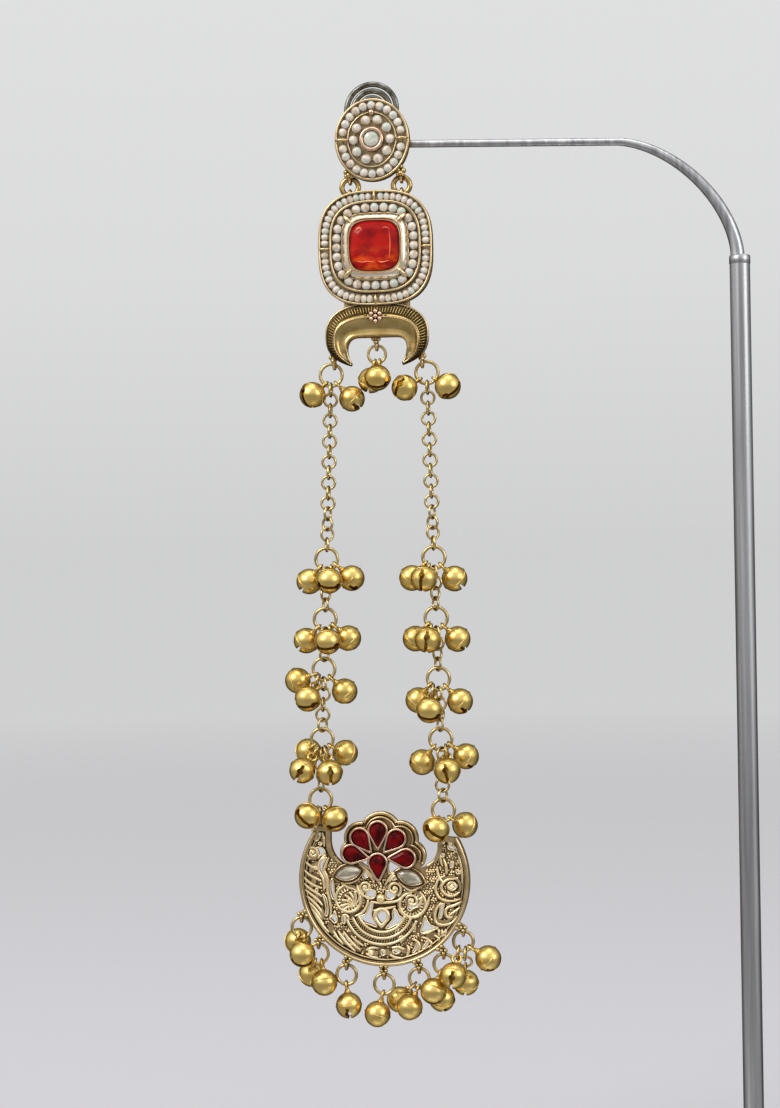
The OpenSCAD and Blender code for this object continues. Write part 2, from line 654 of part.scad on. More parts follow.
module block_frame() color("goldenrod") {
    block_dish();
    horned_crescent();
    at_drop(block_z) for (s = [0, 90, 180, 270]) rotate([0, s, 0])
        translate([block_string, block_floor - gap - block_string_r, 0])
            tie_strap(block_tie[0], block_tie[1], block_tie[2]);
    for (s = [-1, 1]) at_drop(block_eye_z) translate([s * hinge_x, 0, 0]) eyelet(hinge_eye_r);
    for (p = horn_loops) at_ear(p.y) translate([p.x, 0, 0]) {
        eyelet();
        stem(horn_stem[0], stem_low, horn_stem[1], block_back - root);
    }
    at_ear(horn_mid_loop) {
        eyelet();
        stem(mid_stem[0], stem_low, mid_stem[1], block_back - root);
    }
}

module block_outer_pearls() color("ivory") {
    at_drop(block_z, block_floor - gap - block_string_r)
        hoop(oval(block_string, block_string, block_power, 96), block_string_r, 12, 72);
}

module block_inner_pearls() color("ivory") {
    at_drop(block_z + block_lift, block_floor - gap - block_inner_r)
        drilled_pearls(oval(block_inner_path, block_inner_path, block_power, 96),
                       block_inner_n, block_inner_r);
}

module block_inner_thread() color("gold") {
    at_drop(block_z + block_lift, block_floor - gap - block_inner_r)
        hoop(oval(block_inner_path, block_inner_path, block_power, 96), thread_r, 6,
             2 * block_inner_n);
}

module red_stone() color("orangered") {
    at_drop(block_z + block_lift) cut_stone(oval(red_a, red_a, red_power, 24),
        [[0.75, block_floor - gap], [1, block_floor - 1], [1, block_front - 0.7],
         [0.86, block_front - 1.6], [0.66, block_front - 2.1]]);
}

// A hollow bell that hangs from its loop; the wire it hangs on runs through the origin
module bell(turn, wire) {
    drop_z = bell_loop_z + bell_loop_r - bell_loop_wire - wire - slack;
    translate([0, 0, -drop_z]) {
        difference() {
            sphere(bell_r, $fn = fine);
            sphere(bell_r - bell_wall, $fn = fine);
            rotate([0, 0, turn]) {
                translate([-bell_r, -bell_slit / 2, -1.2 * bell_r])
                    cube([2 * bell_r, bell_slit, bell_r]);
                for (s = [-1, 1]) rotate([0, 48 * s, 0]) translate([0, 0, -1.2 * bell_r])
                    cylinder(bell_r, bell_slit, bell_slit, $fn = small);
            }
        }
        translate([0, 0, bell_r - 0.15]) cylinder(bell_loop_z - bell_loop_r - bell_r + 0.3,
                                                  0.6, 0.5, $fn = small);
        translate([0, 0, bell_loop_z]) eyelet(bell_loop_r, bell_loop_wire);
    }
}

// A bell, and any links above it, on a ring that faces the front
module hung_bell(b, r, wire) {
    extra = b[5];
    translate([r * sin(b[1]), 0, -r * cos(b[1])]) rotate([0, -b[2], 0]) rotate([b[3], 0, 0]) {
        first = link_r - link_wire - wire - slack;
        if (extra == 0) bell(b[4], wire);
        else {
            for (k = [0 : extra - 1]) translate([0, 0, -first - k * link_pitch])
                rotate([0, 0, 90 * (k + 1)]) wire_ring(link_r, link_wire);
            translate([0, 0, -first - (extra - 1) * link_pitch - link_r])
                rotate([0, 0, 90 * extra]) bell(b[4], link_wire);
        }
    }
}

function gap_length(n) = 2 * ring_step + (n - 1) * link_pitch;
function ring_drop(links, k) = k == 0 ? 0 : gap_length(links[k - 1]) + ring_drop(links, k - 1);

// The turn of link i of n: a quarter turn each, with a slower twist over the last four links
function link_turn(i, n, turns) =
    len(turns) > 0 ? turns[i - 1] : 90 * i - 18 * max(0, i + 4 - n);

module bell_string(links, turns, bells, start, tilt) {
    at_ear(start[1]) translate([start[0], 0, 0]) rotate([0, tilt, 0]) {
        for (k = [0 : len(links)]) translate([0, 0, -ring_drop(links, k)]) {
            wire_ring(ring_r, ring_wire);
            for (b = bells) if (b[0] == k) hung_bell(b, ring_r, ring_wire);
        }
        for (k = [0 : len(links) - 1]) for (i = [1 : links[k]])
            translate([0, 0, -ring_drop(links, k) - ring_step - (i - 1) * link_pitch])
                rotate([0, 0, link_turn(i, links[k], turns[k])]) wire_ring(link_r, link_wire);
    }
}

module left_string() color("darkgoldenrod") {
    bell_string(left_links, left_turns, left_bells, left_top, left_tilt);
}

module right_string() color("darkgoldenrod") {
    bell_string(right_links, right_turns, right_bells, right_top, right_tilt);
}

module centre_bells() color("darkgoldenrod") {
    at_ear(horn_mid_loop - mid_ring_r) {
        wire_ring(mid_ring_r, mid_ring_wire);
        for (b = centre_hung) hung_bell(b, mid_ring_r, mid_ring_wire);
    }
}

module at_pendant() {
    at_ear(pendant_z) translate([pendant_x, 0, 0]) rotate([0, pendant_turn, 0]) children();
}

module spot(p, turn = 0) {
    translate([p[0], p[1]]) rotate(turn) children();
}

// The mouth between the crescent's horns
module mouth(inset = 0) {
    w = mouth_w + inset;
    low = mouth_low - inset;
    polygon(concat([[-w, 30]], bezier([-w, 9], [-w, 5.5], [-10.4 - inset, 4.2], [-9.2, low + 2.2]),
                   bezier([-5, low], [0, low - 1], [0, low - 1], [5, low]),
                   bezier([9.2, low + 2], [10.4 + inset, 4], [w, 5], [w, 9]), [[w, 30]]));
}

module crescent(inset = 0) {
    difference() {
        circle(pendant_r - inset, $fn = 96);
        mouth(inset);
        polygon([[-30, horn_ends[0] - inset], [0, horn_ends[1] - inset],
                 [30, horn_ends[2] - inset], [30, 30], [-30, 30]]);
    }
}

module fan() {
    for (l = fan_lobes) spot(l) circle(l[2], $fn = fine);
    for (m = marquises) spot(m, m[2])
        polygon(marquise(marquise_size[0] + 4 * frame_w, marquise_size[1] + 3 * frame_w));
    translate([-5, -1.5]) square([9, 5]);
}

module pierced() {
    for (p = openings) polygon(smooth(p));
}

module pendant_plate() {
    plate(pendant_back, pendant_front) {
        crescent();
        fan();
    }
    plate(pendant_front + root, pendant_rim) difference() {
        crescent();
        crescent(rim_w);
        translate([-11.5, -6]) square([23, 12]);
    }
}

module pendant_scrolls() {
    plate(pendant_front + root, pendant_relief) {
        for (s = scrolls) spot(s) difference() {
            circle(s[2], $fn = small);
            circle(s[2] - s[3], $fn = small);
        }
        for (i = [0 : leaf_n - 1]) let (
            a = leaf_reach[0] + (leaf_reach[1] - leaf_reach[0]) * i / (leaf_n - 1))
            rotate(a) translate([leaf_path, 0]) rotate(leaf_turn)
                polygon(marquise(leaf_size[0], leaf_size[1]));
        spot(drop_frame, 90) difference() {
            polygon(drop(drop_outer[0], drop_outer[1]));
            polygon(drop(drop_inner[0], drop_inner[1]));
        }
    }
}

module pendant_bowl() {
    plate(pendant_front + root, pendant_relief - bowl_rise) for (r = bowl_rings)
        spot(bowl) intersection() {
            difference() {
                circle(r, $fn = fine);
                circle(r - bowl_w, $fn = fine);
            }
            polygon(concat([[0, 0]], [for (a = [bowl_reach[0] : 17 : bowl_reach[1]])
                                      12 * [cos(a), sin(a)]]));
        }
}

module pendant_settings() {
    for (p = petals) spot_plate(p, setting_front)
        polygon(drop(petal_size[0] + 2 * frame_w, petal_size[1] + 2.4 * frame_w));
    for (m = marquises) spot_plate(m, setting_front + 0.3)
        polygon(marquise(marquise_size[0] + 3.4 * frame_w, marquise_size[1] + 2 * frame_w));
}

module pendant_seats() {
    for (p = petals) spot_plate(p, setting_front - 1, ruby_floor + gap)
        polygon(drop(petal_size[0] + 2 * gap, petal_size[1] + 3 * gap));
    for (m = marquises) spot_plate(m, setting_front - 1, ruby_floor + gap)
        polygon(marquise(marquise_size[0] + 3 * gap, marquise_size[1] + 2 * gap));
}

function loop_place(a) =
    [(pendant_r + loop_reach) * cos(a), 0, (pendant_r + loop_reach) * sin(a) - loop_sink];

module lower_loops() for (a = loop_angles) translate(loop_place(a)) {
    eyelet();
    translate([0, 0, loop_stem_z]) rotate([0, -90 - a, 0])
        stem(loop_stem[0], loop_stem[1], loop_stem[2], 0);
}

// The loop on a horn of the pendant, held by the last ring of a string
module tip_loop(links, start, tilt) {
    low = ring_drop(links, len(links)) + ring_r + eyelet_r - tip_wire - ring_wire - gap;
    at_ear(start[1]) translate([start[0], 0, 0]) rotate([0, tilt, 0]) translate([0, 0, -low]) {
        eyelet(wire = tip_wire);
        stem(tip_stem[0], tip_stem[1], tip_stem[2], 0);
    }
}

module pendant_frame() color("goldenrod") {
    at_pendant() {
        difference() {
            union() {
                difference() {
                    union() {
                        pendant_plate();
                        pendant_scrolls();
                        pendant_bowl();
                    }
                    plate(pendant_back + past, pendant_rim - past) pierced();
                }
                pendant_settings();
            }
            pendant_seats();
        }
        translate(bead) sphere(bead_r, $fn = small);
        lower_loops();
    }
    tip_loop(left_links, left_top, left_tilt);
    tip_loop(right_links, right_top, right_tilt);
}

module spot_plate(p, front, back = pendant_front + root) {
    plate(back, front) spot(p, p[2]) children();
}

module petal(i) color("darkred") {
    p = petals[i];
    at_pendant() translate([p.x, 0, p.y]) rotate([0, -p[2], 0])
        cut_stone(drop(petal_size[0], petal_size[1], 11),
            [[0.8, ruby_floor], [1, ruby_floor - 0.6], [1, setting_front + 0.1],
             [0.8, ruby_front + 0.2], [0.5, ruby_front]]);
}

module petal_1() petal(0);
module petal_2() petal(1);
module petal_3() petal(2);
module petal_4() petal(3);
module petal_5() petal(4);
module petal_6() petal(5);

module marquise_stone(i) color("lightgray") {
    m = marquises[i];
    at_pendant() translate([m.x, 0, m.y]) rotate([0, -m[2], 0])
        cut_stone(marquise(marquise_size[0], marquise_size[1], 6),
            [[0.8, ruby_floor], [1, ruby_floor - 0.5], [1, setting_front + 0.4],
             [0.7, setting_front]]);
}

module marquise_left() marquise_stone(0);
module marquise_right() marquise_stone(1);

module pendant_bells() color("darkgoldenrod") {
    at_pendant() for (k = [0 : len(loop_angles) - 1])
        translate(loop_place(loop_angles[k]) - [0, 0, lower_ring_r]) {
            wire_ring(lower_ring_r, lower_ring_wire);
            for (b = lower_hung) if (b[0] == k) hung_bell(b, lower_ring_r, lower_ring_wire);
        }
}

stand_base();
stand_post();
stand_arm();
stud_frame();
ear_clutch();
stud_stone();
stud_outer_pearls();
stud_outer_thread();
stud_inner_pearls();
stud_inner_thread();
link_ring_left();
link_ring_right();
block_frame();
block_outer_pearls();
block_inner_pearls();
block_inner_thread();
red_stone();
centre_bells();
left_string();
right_string();
pendant_frame();
petal_1();
petal_2();
petal_3();
petal_4();
petal_5();
petal_6();
marquise_left();
marquise_right();
pendant_bells();
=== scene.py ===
"""Dresses a long chandbali earring on its bent steel stand.

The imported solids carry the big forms. This script adds finishes, pearls and fine relief, the
studio light and the camera. Lengths are in millimetres until a shape becomes a mesh.
"""

import json
import logging
import math
from dataclasses import dataclass, field
from enum import Enum

import bpy
import numpy as np
from mathutils import Matrix, Vector

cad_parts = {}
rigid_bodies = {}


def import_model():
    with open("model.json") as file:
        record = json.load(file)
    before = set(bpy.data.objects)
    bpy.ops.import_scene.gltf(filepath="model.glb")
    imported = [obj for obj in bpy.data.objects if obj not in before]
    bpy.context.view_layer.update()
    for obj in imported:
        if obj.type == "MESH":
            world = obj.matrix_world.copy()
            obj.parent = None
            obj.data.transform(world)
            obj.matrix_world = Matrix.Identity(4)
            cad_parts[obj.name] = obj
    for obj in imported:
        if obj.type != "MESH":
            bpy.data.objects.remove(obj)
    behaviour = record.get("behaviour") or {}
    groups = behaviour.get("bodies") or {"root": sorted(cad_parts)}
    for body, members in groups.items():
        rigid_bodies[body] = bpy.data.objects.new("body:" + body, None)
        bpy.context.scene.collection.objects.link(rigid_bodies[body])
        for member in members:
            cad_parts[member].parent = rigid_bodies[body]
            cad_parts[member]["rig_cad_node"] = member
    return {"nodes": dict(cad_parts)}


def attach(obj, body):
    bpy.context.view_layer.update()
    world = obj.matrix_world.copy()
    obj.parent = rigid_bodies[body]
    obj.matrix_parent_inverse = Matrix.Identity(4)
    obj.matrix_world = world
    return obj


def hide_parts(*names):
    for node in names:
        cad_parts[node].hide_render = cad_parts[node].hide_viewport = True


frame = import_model()

LOG = logging.getLogger("earring")
MM = 0.001

Colour = tuple[float, float, float]
Place = tuple[float, float]
Spot = tuple[float, float, float]
Outline = np.ndarray

# The earring's middle line, the hanging frames' shift from it, and the pendant's middle
EAR_X, EAR_DEPTH = -33.0, -0.4
DROP_SHIFT = 0.4
PENDANT_SHIFT, PENDANT_HEIGHT, PENDANT_TURN = -0.2, 78.1, 1.2


class Body(Enum):
    """The two bodies that move against each other."""

    STAND = "stand_and_stud"
    DROP = "drop"


class Slot(Enum):
    """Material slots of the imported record."""

    STEEL = "steel"
    FRAME = "antique_gold"
    STRING = "string_gold"
    PEARL = "pearl"
    THREAD = "gold_thread"
    MILKY = "milky_stone"
    RED = "red_glass"
    RUBY = "ruby_glass"
    NACRE = "nacre"


# ---------------------------------------------------------------- outlines


def oval(half_width: float, half_height: float, power: float = 2.0, count: int = 96) -> Outline:
    """Samples a rounded outline evenly along its length.

    Args:
        half_width: Reach to the side.
        half_height: Reach upward.
        power: Two gives an ellipse, more squares its corners.
        count: Number of points.

    Returns:
        Points as rows of across and up.
    """
    turn = np.linspace(0, 2 * np.pi, 721)[:-1]
    c, s = np.cos(turn), np.sin(turn)
    fine = np.stack([half_width * np.sign(c) * np.abs(c) ** (2 / power),
                     half_height * np.sign(s) * np.abs(s) ** (2 / power)], 1)
    return even(fine, count, closed=True)


def even(path: Outline, count: int, closed: bool = False) -> Outline:
    """Spaces points evenly along a path.

    Args:
        path: Points as rows.
        count: Number of points wanted.
        closed: Whether the last point joins the first.

    Returns:
        The evenly spaced points.
    """
    line = np.vstack([path, path[:1]]) if closed else np.asarray(path, float)
    step = np.linalg.norm(np.diff(line, axis=0), axis=1)
    run = np.concatenate([[0], np.cumsum(step)])
    want = np.linspace(0, run[-1], count + 1)[:-1] if closed else np.linspace(0, run[-1], count)
    return np.stack([np.interp(want, run, line[:, k]) for k in range(line.shape[1])], 1)


def smooth(points: Outline, closed: bool = False, steps: int = 6) -> Outline:
    """Runs a smooth line through a few points.

    Args:
        points: Points as rows.
        closed: Whether the last point joins the first.
        steps: Points made for each given one.

    Returns:
        The points of the smooth line.
    """
    p = np.asarray(points, float)
    n = len(p)
    if not closed:
        p = np.vstack([2 * p[0] - p[1], p, 2 * p[-1] - p[-2]])
    made = []
    for i in range(n if closed else n - 1):
        a, b, c, d = (p[(i + k - 1) % n] if closed else p[i + k] for k in range(4))
        for t in np.arange(steps) / steps:
            made.append((2 * b + t * (c - a) + t * t * (2 * a - 5 * b + 4 * c - d)
                         + t ** 3 * (3 * b - a - 3 * c + d)) / 2)
    if not closed:
        made.append(p[-2])
    return np.array(made)


def bezier(a: Place, b: Place, c: Place, d: Place, count: int = 16) -> Outline:
    """Returns points along a cubic curve.

    Args:
        a: Its start.
        b: The point that its start heads for.
        c: The point that its end comes from.
        d: Its end.
        count: Number of points.

    Returns:
        Points as rows of across and up.
    """
    t = np.linspace(0, 1, count)[:, None]
    a, b, c, d = (np.asarray(p, float) for p in (a, b, c, d))
    return (1 - t) ** 3 * a + 3 * (1 - t) ** 2 * t * b + 3 * (1 - t) * t * t * c + t ** 3 * d


def arc(radius: float, start: float, end: float, centre: Place = (0, 0), count: int = 24
        ) -> Outline:
    """Returns points along an arc given in degrees."""
    t = np.radians(np.linspace(start, end, count))
    return np.stack([centre[0] + radius * np.cos(t), centre[1] + radius * np.sin(t)], 1)


def spiral(centre: Place, outer: float, inner: float, start: float, sweep: float,
           count: int = 60) -> Outline:
    """Returns a spiral that winds from its outer to its inner radius.

    Args:
        centre: Middle of the spiral.
        outer: Radius at its start.
        inner: Radius at its end.
        start: Angle of its start in degrees.
        sweep: Degrees turned, negative for clockwise.
        count: Number of points.

    Returns:
        Points as rows of across and up.
    """
    t = np.linspace(0, 1, count)
    r = outer + (inner - outer) * t ** 0.8
    a = np.radians(start + sweep * t)
    return np.stack([centre[0] + r * np.cos(a), centre[1] + r * np.sin(a)], 1)


def drop_outline(width: float, length: float, count: int = 40) -> Outline:
    """Returns a drop with its round end to the right and its middle at the origin.

    Args:
        width: Width of its round end.
        length: Its length from point to round end.
        count: Number of points.

    Returns:
        Points as rows of across and up.
    """
    r = width / 2
    c = length / 2 - r
    tilt = math.acos(r / (c + length / 2))
    t = np.linspace(-math.pi + tilt, math.pi - tilt, 48)
    line = np.vstack([np.stack([c + r * np.cos(t), r * np.sin(t)], 1), [[-length / 2, 0]]])
    return even(line, count, closed=True)


def marquise_outline(length: float, width: float, count: int = 36) -> Outline:
    """Returns an outline pointed at its left and right ends.

    Args:
        length: Distance between its points.
        width: Its greatest width.
        count: Number of points.

    Returns:
        Points as rows of across and up.
    """
    r = (length * length + width * width) / 4 / width
    half = math.asin(length / 2 / r)
    t = np.linspace(math.pi / 2 + half, math.pi / 2 - half, 24)
    top = np.stack([r * np.cos(t), r * np.sin(t) - r + width / 2], 1)
    return even(np.vstack([top, -top[1:-1]]), count, closed=True)


def turned(path: Outline, degrees: float, shift: Place = (0, 0)) -> Outline:
    """Turns an outline about the origin and then shifts it.

    Args:
        path: Points as rows.
        degrees: The turn, counterclockwise.
        shift: The move across and up.

    Returns:
        The moved points.
    """
    a = math.radians(degrees)
    m = np.array([[math.cos(a), math.sin(a)], [-math.sin(a), math.cos(a)]])
    return np.asarray(path) @ m + np.asarray(shift, float)


def upright(path: Outline, depth: float | np.ndarray) -> np.ndarray:
    """Stands a flat outline up at a depth.

    Args:
        path: Points as rows of across and up.
        depth: One depth, or one for each point; negative is to the front.

    Returns:
        Points as rows of x, y and z.
    """
    p = np.asarray(path, float)
    return np.stack([p[:, 0], np.broadcast_to(depth, len(p)), p[:, 1]], 1)


def inside(point: Place, outline: Outline) -> bool:
    """Tells whether a point lies inside a closed outline.

    Args:
        point: The point, across and up.
        outline: Points of the outline as rows.

    Returns:
        Whether it lies inside.
    """
    a, b = outline, np.roll(outline, -1, 0)
    spans = (a[:, 1] > point[1]) != (b[:, 1] > point[1])
    rise = np.where(spans, b[:, 1] - a[:, 1], 1.0)
    across = a[:, 0] + (point[1] - a[:, 1]) * (b[:, 0] - a[:, 0]) / rise
    return bool(np.count_nonzero(spans & (across > point[0])) % 2)


# ---------------------------------------------------------------- places


def at_ear(height: float = 0.0) -> Matrix:
    """Returns the place of a shape that is drawn about the earring's middle line."""
    return Matrix.Translation((EAR_X, EAR_DEPTH, height))


def at_drop(height: float = 0.0) -> Matrix:
    """Returns the place of a shape that is drawn about the hanging frames' middle line."""
    return at_ear(height) @ Matrix.Translation((DROP_SHIFT, 0, 0))


def at_relief() -> Matrix:
    """Returns the place of a shape drawn upright about the pendant's middle, without its turn."""
    return at_ear(PENDANT_HEIGHT) @ Matrix.Translation((PENDANT_SHIFT, 0, 0))


def at_pendant() -> Matrix:
    """Returns the place of a shape that is drawn about the pendant's middle."""
    return at_relief() @ about_y(PENDANT_TURN)


def about_y(degrees: float) -> Matrix:
    """Returns a turn about the front-to-back axis."""
    return Matrix.Rotation(math.radians(degrees), 4, "Y")


def about_x(degrees: float) -> Matrix:
    """Returns a turn about the left-to-right axis."""
    return Matrix.Rotation(math.radians(degrees), 4, "X")


def about_z(degrees: float) -> Matrix:
    """Returns a turn about the upright axis."""
    return Matrix.Rotation(math.radians(degrees), 4, "Z")


# ---------------------------------------------------------------- meshes


@dataclass
class Shape:
    """Vertices and faces, gathered from many forms, that become one mesh."""

    points: list[np.ndarray] = field(default_factory=list)
    faces: list[tuple[int, ...]] = field(default_factory=list)
    count: int = 0

    def add(self, points: np.ndarray, faces: list[tuple[int, ...]], place: Matrix) -> None:
        """Adds one form.

        Args:
            points: Its vertices as rows.
            faces: Its faces, counted from its own first vertex.
            place: Where it stands.
        """
        m = np.array(place)
        self.points.append(np.asarray(points, float) @ m[:3, :3].T + m[:3, 3])
        self.faces.extend(tuple(i + self.count for i in f) for f in faces)
        self.count += len(points)

    def loft(self, loops: list[np.ndarray], place: Matrix, caps: bool = True,
             ring: bool = False) -> None:
        """Joins closed loops of equal length into a skin.

        Args:
            loops: The loops, in order.
            place: Where the skin stands.
            caps: Whether the first and last loops are closed with a face.
            ring: Whether the last loop joins the first.
        """
        n, k = len(loops[0]), len(loops)
        faces = [(a * n + i, a * n + (i + 1) % n, b * n + (i + 1) % n, b * n + i)
                 for a in range(k if ring else k - 1) for b in [(a + 1) % k] for i in range(n)]
        if caps and not ring:
            faces += [tuple(range(n)), tuple((k - 1) * n + i for i in range(n))]
        self.add(np.vstack(loops), faces, place)

    def tube(self, path: np.ndarray, radius: float | np.ndarray, place: Matrix,
             sides: int = 8, closed: bool = False, flat: float = 1.0) -> None:
        """Sweeps a round section along an upright path.

        Args:
            path: Points as rows of x, y and z.
            radius: One radius, or one for each point.
            place: Where the tube stands.
            sides: Sides of its section.
            closed: Whether its ends join.
            flat: Depth of the section as a share of its width.
        """
        p = np.asarray(path, float)
        ahead, behind = np.roll(p, -1, 0), np.roll(p, 1, 0)
        if not closed:
            ahead[-1], behind[0] = p[-1], p[0]
        d = ahead - behind
        d /= np.linalg.norm(d, axis=1)[:, None]
        across = np.stack([d[:, 2], np.zeros(len(p)), -d[:, 0]], 1)
        long = np.linalg.norm(across, axis=1)
        across = np.where(long[:, None] > 1e-6, across / np.maximum(long, 1e-6)[:, None], [1, 0, 0])
        over = np.cross(d, across)
        r = np.broadcast_to(radius, len(p))[:, None]
        loops = np.stack([p + r * math.cos(a) * across + r * flat * math.sin(a) * over
                          for a in np.arange(sides) * 2 * math.pi / sides], 1)
        self.loft(list(loops), place, caps=not closed, ring=closed)

    def band(self, outer: Outline, inner: Outline, depth: float, place: Matrix) -> None:
        """Fills the flat ground between two outlines of equal length."""
        self.loft([upright(outer, depth), upright(inner, depth)], place, caps=False)

    def ring(self, centre: np.ndarray, axis: np.ndarray, radius: float, wire: float,
             count: int = 40) -> None:
        """Adds a wire ring about an axis.

        Args:
            centre: Its middle.
            axis: The direction that it turns about.
            radius: Radius of its middle line.
            wire: Radius of its wire.
            count: Steps round it.
        """
        turn = Vector(axis).to_track_quat("Y", "Z").to_matrix().to_4x4()
        path = upright(arc(radius, 0, 360, count=count + 1)[:-1], 0.0)
        self.tube(path, wire, Matrix.Translation(centre) @ turn, closed=True)

    def ball(self, centre: Spot, radius: float, place: Matrix, sides: int = 14, rings: int = 9,
             squash: float = 1.0) -> None:
        """Adds a ball.

        Args:
            centre: Its middle.
            radius: Its radius.
            place: Where its middle is measured from.
            sides: Faces round it.
            rings: Faces from its front to its back.
            squash: Its depth as a share of its width.
        """
        polar = np.linspace(0, math.pi, rings + 1)
        t = np.arange(sides) * 2 * math.pi / sides
        body = [[math.sin(q) * math.cos(a), -squash * math.cos(q), math.sin(q) * math.sin(a)]
                for q in polar[1:-1] for a in t]
        points = np.array([[0, -squash, 0], *body, [0, squash, 0]]) * radius + np.array(centre)
        last = len(points) - 1
        faces = [(0, 1 + i, 1 + (i + 1) % sides) for i in range(sides)]
        for k in range(rings - 2):
            low, high = 1 + k * sides, 1 + (k + 1) * sides
            faces += [(low + i, high + i, high + (i + 1) % sides, low + (i + 1) % sides)
                      for i in range(sides)]
        base = 1 + (rings - 2) * sides
        faces += [(last, base + (i + 1) % sides, base + i) for i in range(sides)]
        self.add(points, faces, place)

    def granules(self, places: list[tuple[float, float, float, float]], place: Matrix,
                 sides: int = 10, rings: int = 6) -> None:
        """Adds small balls, each given as across, depth, up and radius."""
        for x, y, z, radius in places:
            self.ball((x, y, z), radius, place, sides, rings)

    def piece(self, name: str, finish: "Finish", body: Body, slot: Slot) -> bpy.types.Object:
        """Makes the mesh and sets it on its body.

        Args:
            name: Name of the new object.
            finish: What it is made of.
            body: The body that it rides on.
            slot: The record's slot; not used.

        Returns:
            The new object.
        """
        mesh = bpy.data.meshes.new(name)
        mesh.from_pydata((np.vstack(self.points) * MM).tolist(), [], self.faces)
        mesh.validate()
        mesh.polygons.foreach_set("use_smooth", [True] * len(mesh.polygons))
        mesh.materials.append(finish.material())
        piece = bpy.data.objects.new(name, mesh)
        bpy.context.scene.collection.objects.link(piece)
        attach(piece, body.value)
        LOG.info("%s: %d faces", name, len(mesh.polygons))
        return piece


def loose_solids(node: str) -> list[np.ndarray]:
    """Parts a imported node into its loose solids.

    Args:
        node: Name of the node.

    Returns:
        The points of each solid, in millimetres.
    """
    mesh = frame["nodes"][node].data
    flat = np.empty(3 * len(mesh.vertices), np.float32)
    mesh.vertices.foreach_get("co", flat)
    points, merged = np.unique(np.round(flat.reshape(-1, 3) / MM, 3), axis=0, return_inverse=True)
    ends = np.empty(2 * len(mesh.edges), np.int32)
    mesh.edges.foreach_get("vertices", ends)
    a, b = merged.ravel()[ends.reshape(-1, 2)].T
    label = np.arange(len(points))
    while True:
        low = np.minimum(label[a], label[b])
        new = label.copy()
        np.minimum.at(new, a, low)
        np.minimum.at(new, b, low)
        new = new[new]
        if np.array_equal(new, label):
            break
        label = new
    return [points[label == k] for k in np.unique(label)]


# ---------------------------------------------------------------- finishes


